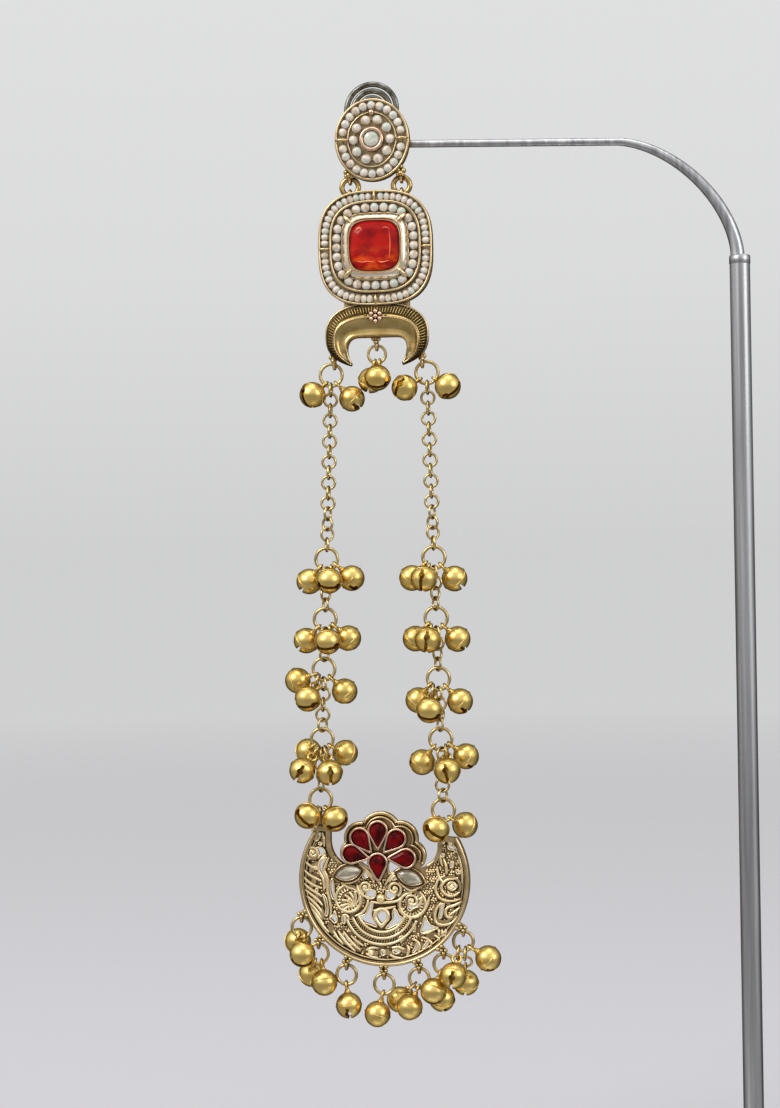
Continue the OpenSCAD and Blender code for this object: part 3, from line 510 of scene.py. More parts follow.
class Graph:
    """Wires the nodes of one material."""

    def __init__(self, name: str) -> None:
        """Starts a material with a bare shader.

        Args:
            name: Name of the material.
        """
        self.material = bpy.data.materials.new(name)
        self.material.use_nodes = True
        self.tree = self.material.node_tree
        self.shader = self.tree.nodes["Principled BSDF"]
        self.place = self.node("ShaderNodeTexCoord").outputs["Object"]

    def node(self, kind: str, **settings: object) -> bpy.types.Node:
        """Adds a node and sets its properties.

        Args:
            kind: The node's type.
            **settings: Its properties by name.

        Returns:
            The new node.
        """
        made = self.tree.nodes.new(kind)
        for key, value in settings.items():
            setattr(made, key, value)
        return made

    def join(self, source: bpy.types.NodeSocket, target: bpy.types.NodeSocket) -> None:
        """Wires one socket to another."""
        self.tree.links.new(source, target)

    def set(self, **values: object) -> None:
        """Sets inputs of the shader, with underscores for the spaces in their names."""
        for key, value in values.items():
            self.shader.inputs[key.replace("_", " ")].default_value = value

    def noise(self, scale: float, detail: float = 2.0, stretch: Colour = (1, 1, 1)
              ) -> bpy.types.NodeSocket:
        """Returns a noise value.

        Args:
            scale: Number of its blotches in a metre.
            detail: Octaves.
            stretch: Scale along each axis.

        Returns:
            The value's socket.
        """
        mapping = self.node("ShaderNodeMapping")
        mapping.inputs["Scale"].default_value = stretch
        self.join(self.place, mapping.inputs["Vector"])
        made = self.node("ShaderNodeTexNoise")
        made.inputs["Scale"].default_value = scale
        made.inputs["Detail"].default_value = detail
        self.join(mapping.outputs["Vector"], made.inputs["Vector"])
        return made.outputs["Fac"]

    def along(self, axis: str) -> bpy.types.NodeSocket:
        """Returns the place along one axis.

        Args:
            axis: The axis, of which Z is the height above the table.

        Returns:
            The socket of the place, in metres.
        """
        split = self.node("ShaderNodeSeparateXYZ")
        self.join(self.place, split.inputs[0])
        return split.outputs[axis]

    def ramp(self, value: bpy.types.NodeSocket, *stops: tuple[float, Colour]
             ) -> bpy.types.NodeSocket:
        """Returns a colour looked up from a value.

        Args:
            value: The value.
            *stops: Each stop's position and colour.

        Returns:
            The colour's socket.
        """
        made = self.node("ShaderNodeValToRGB")
        ramp = made.color_ramp
        while len(ramp.elements) < len(stops):
            ramp.elements.new(0.5)
        for element, (position, colour) in zip(ramp.elements, stops):
            element.position = position
            element.color = (*colour, 1)
        self.join(value, made.inputs["Fac"])
        return made.outputs["Color"]

    def mix(self, share: bpy.types.NodeSocket, low: bpy.types.NodeSocket | Colour,
            high: bpy.types.NodeSocket | Colour) -> bpy.types.NodeSocket:
        """Returns a blend of two colours.

        Args:
            share: How much of the second colour shows.
            low: The first colour.
            high: The second colour.

        Returns:
            The blend's socket.
        """
        made = self.node("ShaderNodeMix", data_type="RGBA")
        self.join(share, made.inputs["Factor"])
        for name, colour in (("A", low), ("B", high)):
            socket = next(s for s in made.inputs if s.name == name and s.type == "RGBA")
            if isinstance(colour, tuple):
                socket.default_value = (*colour, 1)
            else:
                self.join(colour, socket)
        return next(s for s in made.outputs if s.type == "RGBA")

    def span(self, value: bpy.types.NodeSocket, low: float, high: float, to_low: float = 0.0,
             to_high: float = 1.0) -> bpy.types.NodeSocket:
        """Returns a value mapped from one range to another and held inside it.

        Args:
            value: The value.
            low: Start of its own range.
            high: End of its own range.
            to_low: Start of the new range.
            to_high: End of the new range.

        Returns:
            The mapped value's socket.
        """
        made = self.node("ShaderNodeMapRange")
        for name, number in (("From Min", low), ("From Max", high), ("To Min", to_low),
                             ("To Max", to_high)):
            made.inputs[name].default_value = number
        self.join(value, made.inputs["Value"])
        return made.outputs["Result"]

    def bump(self, height: bpy.types.NodeSocket, strength: float, distance: float) -> None:
        """Raises the surface by a height.

        Args:
            height: The height's socket.
            strength: Share of the bump that is shown.
            distance: Its depth in millimetres.
        """
        made = self.node("ShaderNodeBump")
        made.inputs["Strength"].default_value = strength
        made.inputs["Distance"].default_value = distance * MM
        self.join(height, made.inputs["Height"])
        self.join(made.outputs["Normal"], self.shader.inputs["Normal"])

    def shelter(self, reach: float) -> bpy.types.NodeSocket:
        """Returns how open the surface is, low in recesses.

        Args:
            reach: How far a neighbour still shelters it, in millimetres.

        Returns:
            The share's socket.
        """
        made = self.node("ShaderNodeAmbientOcclusion", samples=8)
        made.inputs["Distance"].default_value = reach * MM
        return made.outputs["AO"]


@dataclass(frozen=True)
class Finish:
    """A named surface."""

    name: str

    def material(self) -> bpy.types.Material:
        """Returns the material, made once."""
        return bpy.data.materials.get(self.name) or self.make()

    def make(self) -> bpy.types.Material:
        """Makes the material."""
        raise NotImplementedError


@dataclass(frozen=True)
class Gilt(Finish):
    """Gilded metal with painted shade darkening its recesses, and a darker edge tint at grazing
    angles.
    """

    bright: Colour
    dull: Colour
    dark: Colour
    gloss: float
    rim: Colour = (0.50, 0.34, 0.16)
    reach: float = 1.2
    open_from: float = 0.3
    open_to: float = 0.8
    grain: float = 0.5
    grain_scale: float = 1500.0
    metal: float = 1.0

    def make(self) -> bpy.types.Material:
        """Makes the material.

        Returns:
            The new material.
        """
        g = Graph(self.name)
        tone = g.mix(g.span(g.noise(420, 3), 0.35, 0.7), self.bright, self.dull)
        # Painted shade: the dark colour is mixed into the base colour where neighbours shelter the
        # surface.
        open_share = g.span(g.shelter(self.reach), self.open_from, self.open_to)
        g.join(g.mix(open_share, self.dark, tone), g.shader.inputs["Base Color"])
        g.join(g.span(open_share, 0, 1, 0.6, self.gloss), g.shader.inputs["Roughness"])
        g.bump(g.noise(self.grain_scale, 3), self.grain, 0.02)
        g.set(Metallic=self.metal, Specular_Tint=(*self.rim, 1))
        return g.material


@dataclass(frozen=True)
class Pearl(Finish):
    """Small imitation pearls, each with its own tint."""

    def make(self) -> bpy.types.Material:
        """Makes the material.

        Returns:
            The new material.
        """
        g = Graph(self.name)
        tint = g.ramp(g.noise(560, 0), (0.34, (0.53, 0.43, 0.32)), (0.43, (0.70, 0.61, 0.47)),
                      (0.5, (0.76, 0.70, 0.58)), (0.57, (0.69, 0.58, 0.57)),
                      (0.65, (0.53, 0.57, 0.47)))
        shade = g.span(g.shelter(0.7), 0.05, 0.55)
        g.join(g.mix(shade, (0.46, 0.36, 0.24), tint), g.shader.inputs["Base Color"])
        g.bump(g.noise(1400, 2), 0.4, 0.05)
        g.set(Roughness=0.3, Coat_Weight=0.5, Coat_Roughness=0.14, Specular_IOR_Level=0.5)
        return g.material


@dataclass(frozen=True)
class Stone(Finish):
    """A polished stone with clouds of a second colour in its depth."""

    core: Colour
    edge: Colour
    painted_glow: float = 0.0
    rough: float = 0.05
    blotch: float = 300.0
    stretch: Colour = (1, 1, 1)
    sheen: float = 0.5

    def make(self) -> bpy.types.Material:
        """Makes the material.

        Returns:
            The new material.
        """
        g = Graph(self.name)
        cloud = g.span(g.noise(self.blotch, 2, self.stretch), 0.38, 0.62)
        self.colour(g, g.mix(cloud, self.core, self.edge))
        g.set(Roughness=self.rough, Coat_Weight=self.sheen, Coat_Roughness=0.04,
              Specular_IOR_Level=self.sheen)
        return g.material

    def colour(self, g: Graph, colour: bpy.types.NodeSocket) -> None:
        """Gives the shader its colour and its painted glow, the colour emitted though the stone is
        no lamp.

        Args:
            g: The material's graph.
            colour: The colour's socket.
        """
        g.join(colour, g.shader.inputs["Base Color"])
        # Painted light: the colour is also emitted, so the stone glows.
        if self.painted_glow:
            g.join(colour, g.shader.inputs["Emission Color"])
            g.set(Emission_Strength=self.painted_glow)


@dataclass(frozen=True)
class FireStone(Stone):
    """A stone with a painted pool of light in its lower part and painted shade round its girdle."""

    painted_pool: Colour = (0.75, 0.09, 0.006)
    low: float = 216.5
    high: float = 221.5

    def colour(self, g: Graph, colour: bpy.types.NodeSocket) -> None:
        """Paints a pool of light into the lower part and shade round the girdle before the shader
        takes the colour.

        Args:
            g: The material's graph.
            colour: The colour's socket.
        """
        # Painted light: the lower part is warmed towards the pool's colour, broken up by noise.
        lit = g.span(g.along("Z"), self.low * MM, self.high * MM, 1.0, 0.0)
        flame = g.span(g.noise(300, 2, (1, 1, 1.6)), 0.4, 0.62)
        both = g.node("ShaderNodeMath", operation="MULTIPLY")
        g.join(lit, both.inputs[0])
        g.join(flame, both.inputs[1])
        warm = g.mix(both.outputs[0], colour, self.painted_pool)
        # Painted shade round the girdle, where the bezel shelters the stone.
        rim = g.span(g.shelter(1.6), 0.35, 0.9)
        super().colour(g, g.mix(rim, (0.16, 0.004, 0.006), warm))


@dataclass(frozen=True)
class Steel(Finish):
    """Drawn steel with fine upright streaks, darker where the rod is wound into its coil."""

    low: Colour = (0.36, 0.36, 0.37)
    high: Colour = (0.60, 0.60, 0.61)
    wound: bool = False
    coil_from: float = -24.6
    coil_to: float = -23.8

    def make(self) -> bpy.types.Material:
        """Makes the material.

        Returns:
            The new material.
        """
        g = Graph(self.name)
        streak = g.noise(900, 3, (1, 1, 0.02))
        tone = g.ramp(streak, (0.3, self.low), (0.7, self.high))
        if self.wound:
            # The coil, short of coil_from along X, takes this darker tone, which blends into the
            # plain one by coil_to.
            darker_coil_tone = g.ramp(g.noise(700, 2), (0.3, (0.07, 0.07, 0.055)), (0.7, (0.28, 0.275, 0.25)))
            past_coil = g.span(g.along("X"), self.coil_from * MM, self.coil_to * MM)
            tone = g.mix(past_coil, darker_coil_tone, tone)
        g.join(tone, g.shader.inputs["Base Color"])
        g.join(g.span(streak, 0.3, 0.7, 0.27, 0.4), g.shader.inputs["Roughness"])
        g.bump(streak, 0.25, 0.02)
        g.set(Metallic=1.0, Specular_Tint=(0.5, 0.5, 0.52, 1))
        return g.material


# In each gilt the third colour is the painted shade of its recesses.
FRAME_GOLD = Gilt("aged gold", (0.86, 0.68, 0.40), (0.70, 0.51, 0.26), (0.17, 0.105, 0.045), 0.26,
                  open_from=0.15, open_to=0.7)
# Painted light and shade: the pendant's one gold is split into a lighter copy for the raised relief
# and a darker copy for the sunken ground.
RELIEF_GOLD = Gilt("lit relief gold", (1.0, 0.84, 0.53), (0.95, 0.74, 0.41),
                   (0.10, 0.05, 0.016), 0.22, reach=0.6, open_from=0.1, open_to=0.55, grain=0.8,
                   metal=0.68)
RECESS_GOLD = Gilt("shaded ground gold", (0.68, 0.50, 0.26), (0.40, 0.27, 0.12),
                   (0.04, 0.018, 0.006), 0.34, reach=0.8, open_from=0.3, open_to=0.95, grain=1.0,
                   metal=0.85)
# Painted shade: a near-black gilt for dark marks laid where the pendant lies in shade.
PAINTED_SHADE_GOLD = Gilt("painted shade gold", (0.12, 0.07, 0.04), (0.07, 0.04, 0.02), (0.02, 0.01, 0.005), 0.5)
# Painted shade: a near-black brass for strips laid in the grooves of the horn's hatching.
GROOVE_SHADE_BRASS = Gilt("groove shade brass", (0.10, 0.065, 0.026), (0.05, 0.03, 0.011), (0.01, 0.005, 0.001), 0.4,
                 rim=(0.16, 0.1, 0.04), reach=0.6)
HORN_BRASS = Gilt("olive brass", (0.62, 0.44, 0.18), (0.44, 0.30, 0.10), (0.03, 0.017, 0.004), 0.24,
                  rim=(0.26, 0.16, 0.06), reach=1.5, open_from=0.25, open_to=0.85)
BELL_GOLD = Gilt("bell gold", (0.87, 0.64, 0.22), (0.77, 0.53, 0.15), (0.16, 0.10, 0.03), 0.31,
                 rim=(0.36, 0.27, 0.11), reach=1.4, open_from=0.05, open_to=0.55, grain=0.6,
                 grain_scale=700)
CHAIN_GOLD = Gilt("chain gold", (0.77, 0.60, 0.28), (0.54, 0.39, 0.15), (0.06, 0.035, 0.014), 0.28,
                  rim=(0.24, 0.16, 0.07), reach=0.8, grain=1.2)
COPPER = Gilt("copper gold", (0.88, 0.62, 0.45), (0.76, 0.50, 0.34), (0.12, 0.05, 0.02), 0.26,
              reach=0.6)
# Painted highlight: a near-white copy of the gold for the block's bezel, whose slopes catch the
# lamps.
BRIGHT_GOLD = Gilt("highlight gold", (1.0, 0.90, 0.76), (0.95, 0.80, 0.61), (0.10, 0.05, 0.02), 0.22,
                   grain=0.3)
PEARL = Pearl("seed pearl")
BED = Stone("thread bed", (0.40, 0.30, 0.16), (0.24, 0.17, 0.09), rough=0.5, blotch=900, sheen=0.2)
OPAL = Stone("milky stone", (0.42, 0.46, 0.38), (0.66, 0.64, 0.54), blotch=900, rough=0.12)
# The red, ruby and glint stones glow with painted light.
RED = FireStone("red glass", (0.38, 0.007, 0.004), (0.19, 0.003, 0.004), painted_glow=0.15, blotch=260,
                sheen=0.12)
RUBY = Stone("ruby glass", (0.15, 0.001, 0.002), (0.03, 0.0005, 0.001), painted_glow=0.07, blotch=420,
             sheen=0.1)
NACRE = Stone("grey nacre", (0.78, 0.72, 0.58), (0.24, 0.21, 0.15), blotch=480, rough=0.12,
              stretch=(0.4, 1, 1.8))
STEEL = Steel("brushed steel")
DISC_STEEL = Steel("disc steel", (0.47, 0.47, 0.48), (0.53, 0.53, 0.54))
ROD_STEEL = Steel("rod steel", wound=True)
GLINT = Stone("facet glint", (0.85, 0.30, 0.10), (0.80, 0.20, 0.12), painted_glow=0.35, sheen=0.2)


def dress(finish: Finish, *nodes: str) -> None:
    """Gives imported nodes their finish.

    Args:
        finish: The finish.
        nodes: Names of the nodes.
    """
    for name in nodes:
        for slot in frame["nodes"][name].material_slots:
            slot.material = finish.material()
        LOG.info("%s: %s", name, finish.name)


def plump(name: str, body: Body, grow: float, *nodes: str) -> None:
    """Skins strung pearls, so that they crowd together as on their thread.

    Args:
        name: Name of the new object.
        body: The body that it rides on.
        grow: Thickness of the skin.
        nodes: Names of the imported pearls.
    """
    skins = Shape()
    for node in nodes:
        for points in loose_solids(node):
            centre = (points.min(0) + points.max(0)) / 2
            size = Matrix.Diagonal((*(np.ptp(points, axis=0) / 2 + grow), 1))
            skins.ball((0, 0, 0), 1.0, Matrix.Translation(centre) @ size, 16, 10)
    skins.piece(name, PEARL, body, Slot.PEARL)


# ---------------------------------------------------------------- sub-assemblies


@dataclass
class Stand:
    """The disc, the post and the bent rod."""

    post_x: float = 48.7
    post_radius: float = 2.25
    post_top: float = 217.0
    cap_low: float = 215.1
    rod_x: float = 48.25
    bend_radius: float = 26.5
    bend_power: float = 1.7
    arm_rise: float = 26.4
    arm_radius: float = 0.85
    rod_radius: float = 1.55
    coil_radius: float = 0.63
    eye_height: float = 253.1
    eye_radius: float = 1.5
    pitch: float = 1.52
    turns: float = 3.25
    flare: float = 1.5
    flare_turn: float = 0.25
    sink: float = 12.0

    def rod_path(self) -> tuple[np.ndarray, np.ndarray]:
        """Draws the rod from the coil's eye to the post.

        Returns:
            Its middle line, as rows of across and up, and its radius at each point.
        """
        t = np.linspace(0, self.turns, 240)
        late = np.maximum(0, t - self.turns + self.flare_turn) / self.flare_turn
        a = np.radians(270 - 360 * (self.turns - t))
        r = self.eye_radius + self.pitch * t + self.flare * late * late
        coil = np.stack([r * np.cos(a) + EAR_X, r * np.sin(a) + self.eye_height], 1)
        q = np.radians(np.linspace(90, 0, 49))
        share = 2 / self.bend_power
        bend = np.stack([self.rod_x - self.bend_radius + self.bend_radius * np.cos(q) ** share,
                         self.post_top + self.arm_rise * np.sin(q) ** share], 1)
        start = coil[-1] + 0.05 * (bend[0] - coil[-1])
        foot = np.array([[self.rod_x, self.post_top - self.sink]])
        path = np.vstack([coil, start[None], bend, foot])
        radius = np.concatenate([np.full(len(coil), self.coil_radius), [self.arm_radius],
                                 np.linspace(self.arm_radius, self.rod_radius, len(bend)),
                                 [self.rod_radius]])
        return path, radius

    def build(self) -> None:
        """Dresses the disc and post, draws the rod round and turns the post's cap."""
        dress(DISC_STEEL, "stand_base")
        dress(STEEL, "stand_post", "ear_clutch")
        path, radius = self.rod_path()
        rod = Shape()
        rod.tube(upright(path, 0.0), radius, Matrix(), sides=20)
        made = rod.piece("bent_rod", ROD_STEEL, Body.STAND, Slot.STEEL)
        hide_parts("stand_arm")
        self.cap()

    def cap(self) -> None:
        """Turns the plain collar round the post's top end."""
        profile = ((0.0, self.cap_low), (0.09, self.cap_low + 0.1), (0.09, self.post_top - 0.3),
                   (-0.12, self.post_top + 0.05), (-0.6, self.post_top + 0.05))
        t = np.linspace(0, 2 * np.pi, 49)[:-1]
        loops = [np.stack([self.post_x + (self.post_radius + out) * np.cos(t),
                           (self.post_radius + out) * np.sin(t), np.full(len(t), up)], 1)
                 for out, up in profile]
        collar = Shape()
        collar.loft(loops, Matrix(), caps=False)
        collar.piece("post_collar", STEEL, Body.STAND, Slot.STEEL)


@dataclass
class Stud:
    """The oval stud with its two rings of pearls."""

    height: float = 245.7
    rim: Place = (8.22, 9.02)
    fence: Place = (5.5, 6.15)
    front: float = -2.7
    rim_wire: float = 0.26
    fence_wire: float = 0.2
    pearl_skin: float = 0.12
    bezel_radius: float = 2.32
    bezel_wire: float = 0.46
    bezel_depth: float = 0.62
    granule: float = 0.7
    hinge: Place = (5.9, 237.4)

    # Columns: outer edge, inner edge, depth
    bed_bands = (((7.95, 8.75), (5.65, 6.3), -2.2), ((5.35, 6.0), (2.7, 2.7), -2.15))
    # Columns: across from the loop, depth, up from the hinge, radius
    knob_places = ((-0.6, -1.5, 1.3, 0.68), (0.65, -1.5, 1.2, 0.66), (0.0, -1.8, 0.6, 0.66),
                   (0.05, -1.4, 2.1, 0.66), (-0.62, -1.7, 0.35, 0.5), (0.62, -1.7, 0.3, 0.5))

    def build(self) -> None:
        """Dresses the nodes, rounds the rims and sets the solder knobs over the hinge."""
        dress(FRAME_GOLD, "stud_frame")
        dress(PEARL, "stud_outer_pearls", "stud_inner_pearls")
        dress(CHAIN_GOLD, "stud_outer_thread", "stud_inner_thread")
        dress(OPAL, "stud_stone")
        plump("stud_pearl_skins", Body.STAND, self.pearl_skin, "stud_outer_pearls",
              "stud_inner_pearls")
        place = at_ear(self.height)
        rims = Shape()
        for line, wire in ((self.rim, self.rim_wire), (self.fence, self.fence_wire)):
            rims.tube(upright(oval(*line), self.front + 0.05), wire, place, closed=True)
        rims.piece("stud_rims", FRAME_GOLD, Body.STAND, Slot.FRAME)
        bezel = Shape()
        bezel.tube(upright(oval(self.bezel_radius, self.bezel_radius, count=48),
                           self.front - self.bezel_depth), self.bezel_wire, place, sides=10,
                   closed=True)
        bezel.ball((0, self.front - 0.05, self.fence[1]), self.granule, place)
        bezel.piece("stud_bezel", COPPER, Body.STAND, Slot.FRAME)
        beds = Shape()
        for outer, inner, depth in self.bed_bands:
            beds.band(oval(*outer), oval(*inner), depth, place)
        beds.piece("stud_beds", BED, Body.STAND, Slot.THREAD)
        knobs = Shape()
        for side in (-1, 1):
            loop = DROP_SHIFT + side * self.hinge[0]
            knobs.granules([(loop + x, y, z, r) for x, y, z, r in self.knob_places],
                           at_ear(self.hinge[1]))
        knobs.piece("stud_hinge_knobs", CHAIN_GOLD, Body.STAND, Slot.FRAME)


@dataclass
class Block:
    """The cushion-shaped block with two strings of pearls and a red stone."""

    height: float = 221.2
    lift: float = 0.3
    power: float = 2.9
    rim: float = 12.74
    fence: float = 10.2
    front: float = -3.3
    string: float = 11.58
    pearl: Spot = (0.8, 0.92, 1.05)
    pearl_count: int = 56
    tie_every: int = 14
    string_depth: float = -2.55
    pearl_skin: float = 0.07
    rim_wire: float = 0.26
    fence_wire: float = 0.24
    outer_bed: Place = (12.6, 10.35)
    inner_bed: Place = (9.95, 7.3)
    bed_depth: float = -2.35
    bezel_power: float = 4.0
    claw: float = 6.15
    table: float = 0.4
    jump: Spot = (5.9, 1.9, 235.5)
    jump_wire: float = 0.595
    samples: int = 144

    # Columns: reach, depth, squareness
    bezel_steps = ((7.5, -2.0, 4.0), (7.5, -3.0, 4.0), (7.25, -3.6, 4.0), (6.7, -4.2, 4.0),
                   (6.4, -4.38, 3.9), (6.15, -4.34, 3.7), (5.98, -4.1, 3.6), (5.95, -3.0, 3.5))
    # Columns: reach, depth, squareness, radius of the wire
    bezel_wires = ((7.5, -3.05, 4.0, 0.2), (6.22, -4.34, 3.7, 0.15))
    # Columns: run from the claw's middle, depth, radius
    claw_steps = ((-1.25, -4.0, 0.12), (-0.6, -4.45, 0.38), (0.0, -4.35, 0.5), (0.7, -3.6, 0.42),
                  (1.3, -2.6, 0.3))
    # Painted highlights. Columns: points along a lit edge of the stone, radius
    lit_edges = ((((-3.9, -3.5), (-2.4, -3.8), (-1.6, -3.6), (0.2, -3.9)), 0.1),
                 (((1.0, -3.7), (1.9, -3.9), (3.5, -3.6)), 0.11),
                 (((3.55, 3.3), (3.75, 1.2), (3.7, -1.2), (3.45, -3.3)), 0.06),
                 (((-4.0, 3.5), (-3.3, 3.9), (-2.6, 3.8)), 0.14),
                 (((2.0, 3.8), (2.9, 3.9), (3.7, 3.5)), 0.08))

    def cushion(self, reach: float, power: float) -> Outline:
        """Returns a cushion-shaped outline."""
        return oval(reach, reach, power, self.samples)

    def build(self) -> None:
        """Dresses the nodes, strings the outer pearls, rounds the rims and rolls the bezel."""
        dress(FRAME_GOLD, "block_frame")
        dress(PEARL, "block_inner_pearls")
        dress(CHAIN_GOLD, "block_inner_thread")
        dress(HORN_BRASS, "link_ring_left", "link_ring_right")
        dress(RED, "red_stone")
        outside, middle = at_drop(self.height), at_drop(self.height + self.lift)
        sleeves = Shape()
        for side in (-1, 1):
            path = upright(arc(self.jump[1], 0, 360, (side * self.jump[0], 0), 49)[:-1], 0.0)
            sleeves.tube(path, self.jump_wire, at_drop(self.jump[2]), sides=12, closed=True)
        sleeves.piece("jump_ring_skins", HORN_BRASS, Body.DROP, Slot.FRAME)
        plump("block_pearl_skins", Body.DROP, self.pearl_skin, "block_inner_pearls")
        rims = Shape()
        for reach, wire, place in ((self.rim, self.rim_wire, outside),
                                   (self.fence, self.fence_wire, middle)):
            rims.tube(upright(self.cushion(reach, self.power), self.front + 0.05), wire, place,
                      closed=True)
        rims.piece("block_rims", FRAME_GOLD, Body.DROP, Slot.FRAME)
        beds = Shape()
        for (outer, inner), power, place in ((self.outer_bed, self.power, outside),
                                             (self.inner_bed, self.bezel_power, middle)):
            beds.band(self.cushion(outer, self.power), self.cushion(inner, power),
                      self.bed_depth, place)
        beds.piece("block_beds", BED, Body.DROP, Slot.THREAD)
        self.bezel(middle)
        self.string_pearls(outside)
        self.glints(middle)

    def bezel(self, place: Matrix) -> None:
        """Rolls the sloping bezel round the stone and sets its four claws.

        Args:
            place: The place of what is inside the fence.
        """
        slope = Shape()
        slope.loft([upright(self.cushion(reach, power), depth)
                    for reach, depth, power in self.bezel_steps], place, caps=False)
        slope.piece("block_bezel", BRIGHT_GOLD, Body.DROP, Slot.FRAME)
        claws = Shape()
        for reach, depth, power, wire in self.bezel_wires:
            claws.tube(upright(self.cushion(reach, power), depth), wire, place, closed=True)
        run, depth, radius = np.array(self.claw_steps).T
        run = run + self.claw
        for x in (-1, 1):
            for z in (-1, 1):
                claws.tube(np.stack([x * run, depth, z * run], 1), radius, place)
        claws.piece("block_claws", FRAME_GOLD, Body.DROP, Slot.FRAME)

    def glints(self, place: Matrix) -> None:
        """Paints highlights, as glowing strokes, along the edges of the stone's table, where the
        room's light would catch.

        Args:
            place: The place of what is inside the fence.
        """
        front = min(points[:, 1].min() for points in loose_solids("red_stone")) + self.table
        glints = Shape()
        for line, wire in self.lit_edges:
            path = smooth(line)
            taper = np.sin(np.linspace(0.2, math.pi - 0.2, len(path)))
            glints.tube(upright(path, front), wire * taper, place, flat=0.5)
        glints.piece("stone_glints", GLINT, Body.DROP, Slot.RED)

    def string_pearls(self, place: Matrix) -> None:
        """Strings the outer pearls, leaving the places of the four ties.

        Args:
            place: The block's place.
        """
        pearls = Shape()
        shape = Matrix.Diagonal((*self.pearl, 1))
        path = oval(self.string, self.string, self.power, self.pearl_count)
        for k, (x, z) in enumerate(path):
            if k % self.tie_every:
                before, after = path[k - 1], path[(k + 1) % len(path)]
                turn = math.degrees(math.atan2(after[1] - before[1], after[0] - before[0]))
                seat = place @ Matrix.Translation((x, self.string_depth, z)) @ about_y(-turn)
                pearls.ball((0, 0, 0), 1.0, seat @ shape, 12, 8)
        made = pearls.piece("block_seed_pearls", PEARL, Body.DROP, Slot.PEARL)
        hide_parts("block_outer_pearls")


